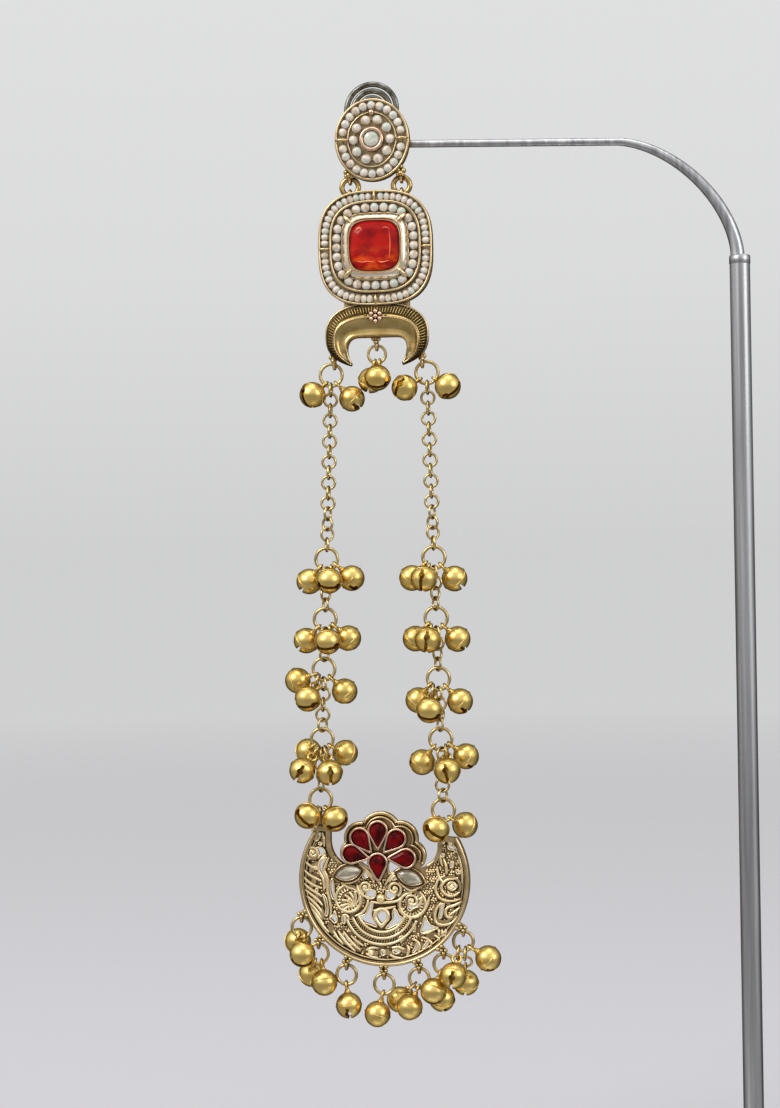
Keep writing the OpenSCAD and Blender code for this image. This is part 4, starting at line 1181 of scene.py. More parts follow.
@dataclass
class Horn:
    """The crescent below the block: a domed face with a hatched outer band."""

    height: float = 201.3
    half_width: float = 11.7
    rise: float = 7.5
    back: float = -1.2
    front: float = -2.3
    crown: float = 1.8
    hatch_count: int = 70
    hatch_share: float = 0.38
    flower_height: float = 4.3
    flower_radius: float = 1.12
    petal: float = 0.56
    heart: float = 0.53

    # Columns: share of the way in from the outer edge, rise
    profile = ((0, 0.05), (0.08, 0.3), (0.12, 0.75), (0.36, 1.55), (0.43, 1.9), (0.5, 1.4),
               (0.6, 0.9), (0.75, 0.68), (0.88, 0.74), (0.96, 1.0), (1.0, 0.7))
    # Columns: across and up to a granule beside the flower, its radius
    side_granules = ((1.9, 4.0, 0.3), (2.3, 4.6, 0.26))
    loops = ((-9.8, 195.3), (10.35, 195.2), (0.0, 199.35))
    # Columns: across, depth and up from a loop, radius
    knob_places = ((-0.55, -1.3, 1.5, 0.56), (0.6, -1.3, 1.4, 0.55), (0.0, -1.35, 0.7, 0.56),
                   (0.0, -1.5, 2.1, 0.55))

    def edges(self, count: int) -> tuple[Outline, Outline]:
        """Draws the horn's two edges from tip to tip.

        Args:
            count: Number of points along half an edge.

        Returns:
            Matching points along the outer and the inner edge.
        """
        t = np.radians(np.linspace(90, 0, 24))
        top = np.stack([self.half_width * np.cos(t) ** 0.8, self.rise * np.sin(t) ** 0.8], 1)
        low = bezier((self.half_width, 0), (self.half_width, -3.8), (9.4, -5.4), (5.75, -6.45))
        outer = even(np.vstack([top, low[1:]]), count)
        inner = even(np.vstack([[[0, -0.25]], bezier((4.4, -0.25), (6.9, -0.25), (7.5, -2.9),
                                                      (5.85, -6.3))]), count)
        flip = np.array([-1, 1])
        return (np.vstack([outer[:0:-1] * flip, outer]),
                np.vstack([inner[:0:-1] * flip, inner]))

    def build(self) -> None:
        """Raises the domed face, cuts its hatching and sets the flower."""
        place = at_drop(self.height)
        outer, inner = self.edges(40)
        wide = np.linalg.norm(outer - inner, axis=1)
        loops = []
        for share in np.linspace(0.02, 0.98, 25):
            loops.append(upright(outer + (inner - outer) * share, self.surface(share, wide)))
        loops.append(upright(inner + (outer - inner) * 0.02, self.back))
        loops.append(upright(outer + (inner - outer) * 0.02, self.back))
        face = Shape()
        n = len(outer)
        k = len(loops)
        faces = [(a * n + i, a * n + i + 1, b * n + i + 1, b * n + i)
                 for a in range(k) for b in [(a + 1) % k] for i in range(n - 1)]
        faces += [tuple(a * n for a in range(k)), tuple(a * n + n - 1 for a in range(k))]
        face.add(np.vstack(loops), faces, place)
        face.piece("horn_face", HORN_BRASS, Body.DROP, Slot.FRAME)
        self.hatch(outer, inner, wide, place)
        self.flower(place)
        self.knobs()

    def surface(self, share: float | np.ndarray, wide: float | np.ndarray) -> np.ndarray:
        """Returns the face's depth at a share of the way in from the outer edge."""
        places, rises = zip(*self.profile)
        return self.front - np.interp(share, places, rises) * np.clip(wide / 4.5, 0.4, 1)

    def hatch(self, outer: Outline, inner: Outline, wide: np.ndarray, place: Matrix) -> None:
        """Lays the short ridges along the outer edge and the wires along both edges.

        Args:
            outer: Points along the outer edge.
            inner: Points along the inner edge.
            wide: Width of the face at each pair of points.
            place: The horn's place.
        """
        lines = Shape()
        index = np.arange(len(outer))
        for s in np.linspace(1.5, len(outer) - 2.5, self.hatch_count):
            o = np.array([np.interp(s, index, outer[:, c]) for c in (0, 1)])
            i = np.array([np.interp(s, index, inner[:, c]) for c in (0, 1)])
            w = float(np.interp(s, index, wide))
            share = np.linspace(0.03, min(self.hatch_share, 2.4 / w), 7)
            path = o + (i - o) * share[:, None]
            lines.tube(upright(path, self.surface(share, w) - 0.13), np.linspace(0.13, 0.07, 7),
                       place, sides=6)
        lines.piece("horn_hatching", HORN_BRASS, Body.DROP, Slot.FRAME)
        # Painted shade: near-black flattened strips laid between the hatch's ridges.
        ground = Shape()
        for s in np.linspace(0.05, self.hatch_share - 0.04, 7):
            path = outer + (inner - outer) * s
            ground.tube(upright(path, self.surface(s, wide) + 0.02), 0.34, place, flat=0.25)
        ground.piece("horn_hatch_ground", GROOVE_SHADE_BRASS, Body.DROP, Slot.FRAME)
        wires = Shape()
        wires.tube(upright(outer * 0.99, self.front - 0.1), 0.24, place)
        wires.tube(upright(inner + (outer - inner) * 0.06, self.front - 0.2), 0.3, place)
        ridge = inner + (outer - inner) * 0.57
        wires.tube(upright(ridge, self.surface(0.43, wide) - 0.02), 0.14, place, sides=6)
        wires.piece("horn_wires", FRAME_GOLD, Body.DROP, Slot.FRAME)

    def flower(self, place: Matrix) -> None:
        """Sets the copper-coloured flower of granules at the top.

        Args:
            place: The horn's place.
        """
        flower = Shape()
        depth = self.front - self.crown - 0.05
        flower.ball((0, depth - 0.1, self.flower_height), self.heart, place)
        for k in range(6):
            a = math.radians(60 * k + 30)
            flower.ball((self.flower_radius * math.cos(a), depth,
                         self.flower_height + self.flower_radius * math.sin(a)), self.petal, place)
        flower.piece("horn_flower", COPPER, Body.DROP, Slot.FRAME)
        sides = Shape()
        sides.granules([(s * x, depth + 0.15, z, r) for s in (-1, 1)
                        for x, z, r in self.side_granules], place)
        sides.piece("horn_side_granules", HORN_BRASS, Body.DROP, Slot.FRAME)

    def knobs(self) -> None:
        """Sets the solder knobs over the horn's three loops."""
        knobs = Shape()
        for across, up in self.loops:
            knobs.granules([(across + x, y, up + z, r) for x, y, z, r in self.knob_places],
                           at_ear())
        knobs.piece("horn_loop_knobs", CHAIN_GOLD, Body.DROP, Slot.FRAME)


@dataclass
class Pendant:
    """The pierced crescent with its crown of drop-cut stones."""

    radius: float = 19.5
    plate: float = -0.5
    wire_depth: float = -0.95
    rim: float = -1.5
    setting: float = -2.2
    petal_size: Place = (3.65, 5.7)
    marquise_size: Place = (5.7, 2.9)
    bowl: Place = (-0.5, -6.0)
    bead: Spot = (-0.75, -1.2, -4.05)
    bead_radius: float = 0.98
    shell_centre: Place = (-6.9, -6.0)
    granule_pitch: float = 0.62
    granule_clear: float = 0.46

    petals = ((-1.35, 10.25, 91), (-4.85, 8.85, 129), (2.15, 8.8, 48), (-6.35, 5.7, 168),
              (4.0, 5.2, 1), (-1.3, 2.95, 93))
    marquises = ((-8.1, 1.5, 15.5), (5.95, 0.8, -19))
    lobes = ((-0.9, 10.9, 4.6), (-5.5, 9.4, 3.7), (3.6, 9.4, 4.1), (-7.1, 6, 3), (5.9, 5.6, 3.6))
    loop_angles = (204, 223.5, 245.5, 270, 292.5, 310.5, 329.5)
    openings = (
        ((-16, 8.9), (-15.6, 9.6), (-15, 10.5), (-14.6, 10.1), (-15.1, 9), (-15.5, 8.6)),
        ((-15.1, 8), (-14.6, 8.3), (-14.3, 7.9), (-14.8, 7.6)),
        ((-15.6, 6.9), (-14.4, 7.1), (-13.7, 6.3), (-13.7, 5.5), (-14.7, 5.3), (-15.2, 4.6),
         (-15.1, 5.8)),
        ((-13.2, 4.9), (-14, 3.3), (-14.2, 2), (-13.6, 0.7), (-13.3, -0.3), (-13.4, -1.8),
         (-13.8, -2), (-14, -0.3), (-14.4, 0.8), (-14.9, 1.8), (-15, 2.8), (-14.4, 4.3)),
        ((-11.9, 0.1), (-12.3, -0.9), (-12.4, -2.3), (-12, -4.2), (-11.5, -4.7), (-11.3, -4.1),
         (-11.5, -2.8), (-11.6, -1.2)),
        ((-5.7, 4.2), (-4, 4.8), (-3.3, 4.4), (-3.1, 3.4), (-2.7, 2.1), (-4.4, 3.2)),
        ((-4.8, 1.4), (-4.1, 1.6), (-3.6, 0.7), (-4.8, 0.4)),
        ((-3.4, -2.3), (-2.2, -2.4), (-1.9, -3.3), (-2.3, -4), (-3.5, -4.3), (-4.2, -3.7)),
        ((0.5, -2.6), (1.3, -2.2), (2.3, -2.6), (2.5, -3.6), (1.5, -4.3), (0.4, -4.1)),
        ((1.2, 4.3), (2.1, 4.2), (3.9, 3.3), (2.9, 2.5), (1.3, 1.5), (0.9, 2.6)),
        ((1.4, 1.1), (2.7, 0.9), (3, 0.4), (1.9, 0.1)),
        ((-3, -5), (-2.5, -5.1), (-2.7, -6.6), (-2.8, -8.1), (-2.2, -9.3), (-1.6, -10.6),
         (-3.4, -10.1), (-4.8, -9.6), (-5.7, -8.5), (-4.3, -7.8), (-3.6, -6.5)),
        ((-1.7, -8.2), (-0.9, -7.2), (0.3, -7), (0.8, -7.9), (0.5, -8.9), (-0.3, -9.9),
         (-1.1, -9.5)),
        ((2.4, -6.4), (2.9, -6.9), (3.5, -7.9), (4.5, -8.6), (4.1, -9.5), (2.7, -10.1),
         (1.2, -10.9), (0.4, -10.9), (1.1, -10), (2, -8.8), (2, -7.4)),
        ((-12.5, -8.9), (-11.6, -8.1), (-11.3, -7.3), (-11, -8.2), (-10.7, -9.5), (-11.4, -10),
         (-12, -9.4)),
        ((-9.4, -8.6), (-9, -8.4), (-8.7, -9.2), (-9, -10), (-9.5, -9.8)),
        ((-14.1, -3.5), (-13.4, -4.2), (-13, -5.5), (-12.8, -7.1), (-13, -8.3), (-13.5, -8.3),
         (-13.3, -6.6), (-13.6, -5.1)),
        ((-9.3, -12.3), (-8.9, -12.6), (-8, -13.8), (-6.9, -14.5), (-7, -14.9), (-8.3, -14.5),
         (-9.1, -13.4)),
        ((9.4, -7.8), (9.9, -9), (10.8, -10), (12.4, -10.5), (10.6, -11.1), (8.5, -11.6),
         (8.8, -10)),
        ((13.5, -11.6), (14.1, -11.1), (14.4, -11.6), (13.8, -12.2)),
        ((12.9, -5.2), (13.7, -5), (13.5, -6), (13.4, -7.3), (12.9, -8.3), (12.5, -7.9),
         (12.8, -6.5)),
        ((5.7, -5.6), (6.2, -5.1), (8, -5.3), (7.7, -5.8), (6.7, -6.2), (6.1, -6.8),
         (5.4, -6.4)),
        ((6.7, -9.9), (7.2, -10.1), (7.1, -11.4), (6.6, -11.2)),
        ((2.9, -10.9), (3.4, -11.2), (3.1, -12.1), (2.6, -11.8)),
        ((14.5, 8.2), (15.6, 8.1), (16.5, 7.5), (16.4, 6.7), (15.8, 7.2), (14.7, 7.4)),
        ((12.8, 6.4), (13.7, 6.2), (13.5, 5.6), (13, 5.7)),
        ((15.2, 4.5), (15.8, 4.5), (15.7, 3.4), (15.1, 3.3)),
        ((16.4, 2.7), (17.2, 2.6), (17.4, 2), (16.6, 1.9)),
        ((14.9, -1.3), (15.5, -0.6), (16.6, -0.7), (16.3, -1.5), (15.3, -1.9)),
        ((7.7, -13.8), (8.1, -14.1), (7.6, -15.4), (6.8, -16.3), (6.6, -16), (7.2, -14.9)),
        ((10, -13.4), (10.2, -14), (9.5, -15), (8.8, -15.4), (8.9, -14.9), (9.4, -14.2)),
        ((2, -15.9), (3.3, -15.7), (3.7, -16.2), (2.6, -16.6)),
        ((-0.6, -16), (0.1, -15.8), (0.3, -16.8), (-0.4, -17)),
        ((-15.8, -2.5), (-15.4, -2.2), (-15.2, -2.7), (-15.5, -3)),
        ((-16.1, 2.5), (-15.7, 2.8), (-15.5, 2.3), (-15.8, 2)))
    pits = ((-17.5, 5.2), (-17.15, 3.6), (-18, 1.45), (-9, -10.4), (-6.5, -9.9), (-5.05, -10.1),
            (-4.5, -11.2), (-8.8, -12.6), (-7.3, -13.5), (-4.4, -13.7), (-1.75, -16.8),
            (3.9, -16.2))
    # Strokes of the relief, each a few points that a smooth line runs through
    strokes = (
        ((-18.2, 4.3), (-17, 3.3), (-15.6, 2.6), (-14.7, 2.3)),
        ((-18.5, 2.4), (-17.3, 1.3), (-15.9, 0.5), (-14.4, -0.2)),
        ((-18.5, 0.7), (-17.4, -0.4), (-15.9, -1.3), (-14.3, -1.9)),
        ((-18.4, -0.8), (-17.2, -1.9), (-15.6, -2.9), (-14.3, -3.8)),
        ((-18.2, -2.2), (-16.9, -3.2), (-15.3, -4.5), (-14.2, -5.8)),
        ((-17.9, -3.6), (-16.7, -4.6), (-15.4, -5.9), (-14.3, -7.4)),
        ((-17.4, -5), (-16.4, -6), (-15.3, -7.4), (-14.6, -8.7)),
        ((-16.8, -6.5), (-15.9, -7.6), (-14.9, -9.1), (-14, -10.1)),
        ((-16, -8), (-15.1, -9.2), (-13.9, -10.8), (-12.8, -11.9)),
        ((-13.2, 5.8), (-14.4, 4.75), (-14.95, 3.5), (-14.85, 1.9), (-14, 0.4), (-13.8, -1),
         (-13.9, -2.4)),
        ((-12.6, 5.2), (-13.4, 3.4), (-13.7, 2.2), (-13.1, 0.8), (-12.9, -0.5), (-13, -2.4),
         (-12.6, -4.4), (-12.3, -6.8), (-12.6, -8.7)),
        ((-11.2, 0.9), (-9.9, -0.3), (-8.4, -1.6), (-7, -2)),
        ((-10.7, 0.2), (-8.5, -0.6), (-6.8, -0.2), (-5.6, 0.4)),
        ((-5.8, 3.9), (-3.6, 2), (-1.9, 0.4), (-0.6, -1.2)),
        ((-5, 2.6), (-3.4, 1.2), (-2.2, -0.3)),
        ((4.3, 3), (2.6, 1.8), (1.2, 0.5), (0.2, -1.2)),
        ((3.6, 1.9), (2.2, 0.8), (1, -0.4)),
        ((3.1, 0.6), (4.1, -1), (6.2, -2.3), (8.2, -1.4), (10.1, -0.2)),
        ((-6.2, -1), (-5.8, -2.6), (-4.6, -3.6), (-3.2, -3.9)),
        ((-3, -4.9), (-1.4, -5.1), (0.4, -5), (2.8, -4.7), (3.9, -3.9)),
        ((-2.6, -6.9), (-0.9, -6.6), (0.9, -6.3), (2.6, -5.9)),
        ((-6.8, -8.2), (-5.2, -7.4), (-4.1, -6), (-3.7, -4.4)),
        ((8.7, -3.2), (8.4, -4.6), (7.6, -6.2)),
        ((10.3, -3.6), (9.9, -5.2), (9, -6.8), (7.6, -7.9), (5.9, -8.3)),
        ((3.2, -6.4), (4.2, -7.6), (5.4, -8.4)),
        ((12.5, 8.4), (12.7, 6.4), (13, 4.6), (13.4, 3.2)),
        ((13.6, 5), (14.2, 3.2), (14.3, 1.4)),
        ((12.1, 3.2), (12.3, 1.6), (12.8, 0.3), (13.6, -0.4)),
        ((17, 6), (17.6, 3.6), (17.9, 1.4), (17.8, -0.6)),
        ((16.9, 0.6), (15.7, 0.4), (14.4, 0.2), (13.2, -1), (13.2, -2.3), (14.4, -3.3),
         (15.8, -3.4), (17.2, -2.6)),
        ((14, 1.1), (12.6, 0.4), (11.9, -0.9), (11.8, -2.4), (12.5, -3.8), (13.9, -4.5),
         (15.6, -4.6), (17.3, -4.1)),
        ((15.8, -5.4), (14.2, -6.3), (13.9, -7.4), (14.4, -8.3), (15.5, -8.2)),
        ((13, -4.9), (11.9, -6.4), (11.5, -8), (11.7, -9.3), (12.8, -10), (14.4, -9.9),
         (15.7, -9.2), (16.6, -8)),
        ((14.9, -6.1), (16.3, -5.4), (17.7, -4.7)),
        ((14.6, -7.9), (16, -7), (17.3, -6)),
        ((12.3, -10.9), (12.4, -12.6)), ((13, -11), (13.2, -12.8)), ((13.9, -10.9), (13.9, -12.5)),
        ((8.3, -12), (9.8, -11.8), (11.3, -11.1)),
        ((6.2, -13.2), (7.3, -13.8), (7.9, -15), (7.4, -16.6)),
        ((8.4, -12.8), (9.8, -13.3), (10.6, -14.3), (10, -15.3)),
        ((11.2, -12.3), (12.2, -13), (12.4, -13.9)),
        ((5, -14.6), (5.4, -15.8), (4.9, -17.2)),
        ((1, -16.8), (2.4, -17.5), (4.1, -17.7)),
        ((1.5, -15.3), (3, -15.1), (4.4, -15.6)),
        ((-1.6, -15.4), (-3, -15.3), (-4.4, -15.9)),
        ((-4.4, -16.6), (-3, -17.4), (-1.6, -17.6)),
        ((-9.6, -11.6), (-8.4, -13.2), (-7, -14.8), (-5.6, -15.9)),
        ((-10.8, -11.4), (-9.8, -13), (-8.4, -14.7), (-6.8, -16.2)),
        ((-11.9, -11.4), (-11, -13), (-9.6, -14.6)),
        ((-7.8, -12.6), (-6.4, -13.9), (-5, -14.9)),
        ((-9.8, -9.2), (-9.6, -8.2), (-9, -7.9), (-8.4, -8.4), (-8.3, -9.6)),
        ((-16.6, 11.2), (-15.8, 11.6), (-15, 11.4)),
        ((-14, 10.8), (-13.6, 9.2), (-13.6, 7.6)))
    # Columns: middle, outer and inner radius, starting angle, sweep
    curls = (((-4.2, -1.7), 1.5, 0.3, 250, -560), ((2.3, -1.9), 1.85, 0.3, -60, 560),
             ((-8, -4.5), 3.3, 2.5, 110, 330),
             ((6.4, -5.3), 3.3, 2.6, 60, -330), ((6.4, -4.6), 1.6, 0.3, 150, -500),
             ((-16.4, 5.9), 1.6, 0.3, 250, -620), ((15.3, -1), 1.1, 0.3, 20, 400),
             ((15.2, 8.9), 0.7, 0.2, 0, 400), ((13.4, 9.0), 0.6, 0.2, 0, 400),
             ((-15.9, 10.4), 0.6, 0.2, 90, 400), ((4.1, -13.2), 0.8, 0.2, 0, 420),
             ((-2.9, -16.4), 0.6, 0.2, 90, 400))
    mouth_edges = (((-12.6, 12.1), (-12.6, 9), (-12.3, 6.3), (-11, 4.4), (-9.6, 3.4)),
                   ((12.6, 10.2), (12.6, 8.8), (12.2, 6), (11, 4.3), (9.6, 3.3)))
    nose = ((-2.6, -5.9), (-0.9, -5.9), (0.9, -5.7), (2.6, -5.3))
    # Columns: across and up to a round body's middle, first and last angle of its ribs
    ribbed = ((-8.0, -4.5, 100, 330), (6.4, -5.3, -150, 80))
    shell_angles = (205, 182, 158, 134, 110, 86, 62)

    def build(self) -> None:
        """Dresses the nodes and lays the relief."""
        dress(RECESS_GOLD, "pendant_frame")
        dress(RUBY, *(f"petal_{k}" for k in range(1, 7)))
        dress(NACRE, "marquise_left", "marquise_right")
        place = at_pendant()
        self.edge_beads(place)
        self.relief(place)
        self.bowl_wires(place)
        self.stone_rims(place)
        self.loop_knobs(place)

    def edge_beads(self, place: Matrix) -> None:
        """Rounds the rim, the mouth and the double scallop behind the crown.

        Args:
            place: The pendant's place.
        """
        beads = Shape()
        beads.tube(upright(arc(self.radius - 0.45, 146, 391.5, count=150), self.rim + 0.05), 0.36,
                   place)
        beads.tube(upright(arc(self.radius - 1.5, 147, 391, count=150), -0.95), 0.24, place,
                   flat=1.6)
        for inset, wire in ((0.32, 0.42), (1.25, 0.28)):
            self.scallop(beads, inset, wire, place)
        for line in self.mouth_edges:
            beads.tube(upright(smooth(line), self.plate - 0.25), 0.32, place, flat=1.3)
        beads.piece("pendant_edge_beads", FRAME_GOLD, Body.DROP, Slot.FRAME)

    def scallop(self, beads: Shape, inset: float, wire: float, place: Matrix) -> None:
        """Lays one scalloped wire behind the petals.

        Args:
            beads: The shape that takes it.
            inset: Its distance in from the lobes' edges.
            wire: Its radius.
            place: The pendant's place.
        """
        for k, (x, z, r) in enumerate(self.lobes):
            line = arc(r - inset, -30, 210, (x, z), 90)
            keep = np.array([all(math.hypot(p[0] - a, p[1] - b) > c - inset + 0.03
                                 for m, (a, b, c) in enumerate(self.lobes) if m != k)
                             and p[1] > 3.6 for p in line])
            cuts = np.flatnonzero(np.diff(keep.astype(int))) + 1
            for part, flag in zip(np.split(line, cuts), np.split(keep, cuts)):
                if flag[0] and len(part) > 3:
                    beads.tube(upright(part, self.plate - 0.3), wire, place, flat=1.1)

    def relief(self, place: Matrix) -> None:
        """Lays the wires round the openings, the scrolls and the granules between them.

        Args:
            place: The pendant's place.
        """
        lines = [smooth(stroke) for stroke in self.strokes]
        rounds = [spiral(*curl) for curl in self.curls]
        rings = [smooth(opening, closed=True, steps=4) for opening in self.openings]
        bent = Shape()
        for line, stand in [(a, at_relief()) for a in lines] + [(a, place) for a in rounds]:
            taper = np.sin(np.linspace(0.3, math.pi - 0.3, len(line))) ** 0.4
            bent.tube(upright(line, self.wire_depth), 0.36 * taper, stand, sides=8, flat=1.5)
        for line in rings:
            bent.tube(upright(line, self.wire_depth), 0.2, place, sides=6, closed=True, flat=2.2)
        for centre, *_ in self.curls:
            bent.ball((centre[0], self.wire_depth - 0.1, centre[1]), 0.42, place)
        bent.ball(self.bead, self.bead_radius, place)
        bent.piece("pendant_scrolls", RELIEF_GOLD, Body.DROP, Slot.FRAME)
        self.painted_shadows(place)
        self.bodies(place)
        self.ground(np.vstack(lines + rounds + rings), rings, place)

    def marquise_line(self, stone: Spot, longer: float, wider: float) -> Outline:
        """Returns the outline of a marquise stone, grown by a length and a width."""
        size = (self.marquise_size[0] + longer, self.marquise_size[1] + wider)
        return turned(marquise_outline(*size), stone[2], stone[:2])

    def painted_shadows(self, place: Matrix) -> None:
        """Lays painted shade: a dark band under the nose, dark spots in the pits and dark rings
        round the marquise stones.

        Args:
            place: The pendant's place.
        """
        painted_shadows = Shape()
        painted_shadows.tube(upright(smooth(self.nose), self.plate - 0.35), 0.72, place, flat=0.3)
        for x, z in self.pits:
            painted_shadows.ball((x, self.plate, z), 0.36, place, squash=0.3)
        for stone in self.marquises:
            painted_shadows.tube(upright(self.marquise_line(stone, 0.9, 0.65), self.setting + 0.45), 0.36,
                        place, closed=True)
        painted_shadows.piece("pendant_painted_shadows", PAINTED_SHADE_GOLD, Body.DROP, Slot.FRAME)

    def bodies(self, place: Matrix) -> None:
        """Raises the two ribbed round bodies under the marquises.

        Args:
            place: The pendant's place.
        """
        ribs = Shape()
        for x, z, start, end in self.ribbed:
            for degrees in np.arange(start, end, 17):
                a = math.radians(degrees)
                line = [[x + r * math.cos(a), z + r * math.sin(a)] for r in (1.9, 2.3, 2.7, 3.0)]
                ribs.tube(upright(np.array(line), self.wire_depth), 0.27, place, sides=6)
        cx, cz = self.shell_centre
        for degrees in self.shell_angles:
            a = math.radians(degrees)
            tip = (cx + 3.0 * math.cos(a), cz + 3.4 * math.sin(a))
            mid = (cx + 1.6 * math.cos(a - 0.25), cz + 1.8 * math.sin(a - 0.25))
            line = smooth((self.shell_centre, mid, tip))
            ribs.tube(upright(line, self.wire_depth - 0.12), np.linspace(0.16, 0.34, len(line)),
                      place, flat=1.2)
        ribs.piece("pendant_ribs", RELIEF_GOLD, Body.DROP, Slot.FRAME)

    def ground(self, taken: Outline, rings: list[Outline], place: Matrix) -> None:
        """Fills the ground between the wires with granules.

        Args:
            taken: Points along all wires.
            rings: Outlines of the openings.
            place: The pendant's place.
        """
        pitch = self.granule_pitch
        seeds = Shape()
        for row, z in enumerate(np.arange(-18.4, 10.4, pitch * 0.87)):
            for x in np.arange(-18.4, 18.4, pitch) + (row % 2) * pitch / 2:
                if not self.open_ground(x, z):
                    continue
                near = np.min(np.hypot(taken[:, 0] - x, taken[:, 1] - z))
                if near > self.granule_clear and not any(inside((x, z), ring) for ring in rings):
                    wave = math.sin(7.1 * x + 3.3 * z) * math.cos(5.3 * z - 2.9 * x)
                    sway = math.sin(11.3 * x - 8.7 * z)
                    seeds.ball((x + 0.17 * sway, self.plate - 0.12 - 0.1 * wave, z + 0.17 * wave),
                               0.28 + 0.08 * sway, place, 8, 5)
        seeds.piece("pendant_granules", RELIEF_GOLD, Body.DROP, Slot.FRAME)

    def open_ground(self, x: float, z: float) -> bool:
        """Tells whether the bare plate shows here, clear of rims, settings and the bowl.

        Args:
            x: The place across.
            z: The place up.

        Returns:
            Whether a granule may stand there.
        """
        far = math.hypot(x, z)
        bowl = math.hypot(x - self.bowl[0], z - self.bowl[1])
        cheek = abs(x) > 9.3 and z < 3.2 + 0.8 * (abs(x) - 9.2)
        if (far > self.radius - 1.9 or (z > 0.6 and abs(x) < 12.9 and not cheek)
                or (z < -6 and bowl < 9.2)):
            return False
        held = [(mx, mz, 2.9) for mx, mz, _ in self.marquises] + [(-0.9, 5.0, 5.0)]
        return all(math.hypot(x - a, z - b) > r for a, b, r in held)

    def bowl_wires(self, place: Matrix) -> None:
        """Lays the hatched bowl and the drop-shaped loop above it.

        Args:
            place: The pendant's place.
        """
        bowl = Shape()
        for r in (5.7, 7.1, 8.5):
            bowl.tube(upright(arc(r, 200, 340, self.bowl, 70), -1.25), 0.33, place, flat=1.2)
        for inner, outer, turn in ((5.9, 6.9, 4), (7.3, 8.3, -4)):
            for k in range(30):
                a = math.radians(205 + 4.5 * k)
                b = math.radians(205 + 4.5 * k + turn)
                line = [[self.bowl[0] + inner * math.cos(a), self.bowl[1] + inner * math.sin(a)],
                        [self.bowl[0] + outer * math.cos(b), self.bowl[1] + outer * math.sin(b)]]
                bowl.tube(upright(np.array(line), -1.12), 0.15, place, sides=5)
        drop = turned(drop_outline(3.1, 4.0), 90, (-0.5, -8.5))
        bowl.tube(upright(drop, -1.2), 0.42, place, closed=True, flat=1.2)
        bowl.piece("pendant_bowl", RELIEF_GOLD, Body.DROP, Slot.FRAME)

    def stone_rims(self, place: Matrix) -> None:
        """Rolls the rims of the stones' settings.

        Args:
            place: The pendant's place.
        """
        rims = Shape()
        for x, z, a in self.petals:
            line = turned(drop_outline(self.petal_size[0] + 0.55, self.petal_size[1] + 0.7), a,
                          (x, z))
            rims.tube(upright(line, self.setting), 0.3, place, closed=True)
        rims.piece("petal_rims", COPPER, Body.DROP, Slot.FRAME)
        eyes = Shape()
        for stone in self.marquises:
            for longer, wider, wire, lower in ((0.35, 0.3, 0.14, 0.3), (1.7, 1.15, 0.27, 0.8)):
                eyes.tube(upright(self.marquise_line(stone, longer, wider), self.setting + lower),
                          wire, place, closed=True)
            x, z, _ = stone
            side = 1 if x > 0 else -1
            point = np.array([(x + side * 3.3, z - 0.5), (x + side * 4.1, z - 0.6)])
            eyes.tube(upright(point, self.setting + 0.8), np.array([0.3, 0.12]), place)
        eyes.piece("marquise_rims", FRAME_GOLD, Body.DROP, Slot.FRAME)

    def loop_knobs(self, place: Matrix) -> None:
        """Sets a cluster of granules over the foot of each lower loop.

        Args:
            place: The pendant's place.
        """
        knobs = Shape()
        for degrees in self.loop_angles:
            a = math.radians(degrees)
            along, out = np.array([-math.sin(a), math.cos(a)]), np.array([math.cos(a), math.sin(a)])
            foot = out * (self.radius + 1.4) - np.array([0, 0.6])
            for shift, reach, r in ((-0.55, 0.1, 0.55), (0.55, 0.1, 0.55)):
                x, z = out * (self.radius + reach) + along * shift
                knobs.ball((x, -1.25, z), r, place, 10, 6)
            for x, z, r in ((-0.5, 0.95, 0.5), (0.5, 0.95, 0.5), (0, 0.25, 0.52)):
                knobs.ball((foot[0] + x, -1.0, foot[1] + z), r, place, 10, 6)
        knobs.piece("pendant_loop_knobs", CHAIN_GOLD, Body.DROP, Slot.FRAME)


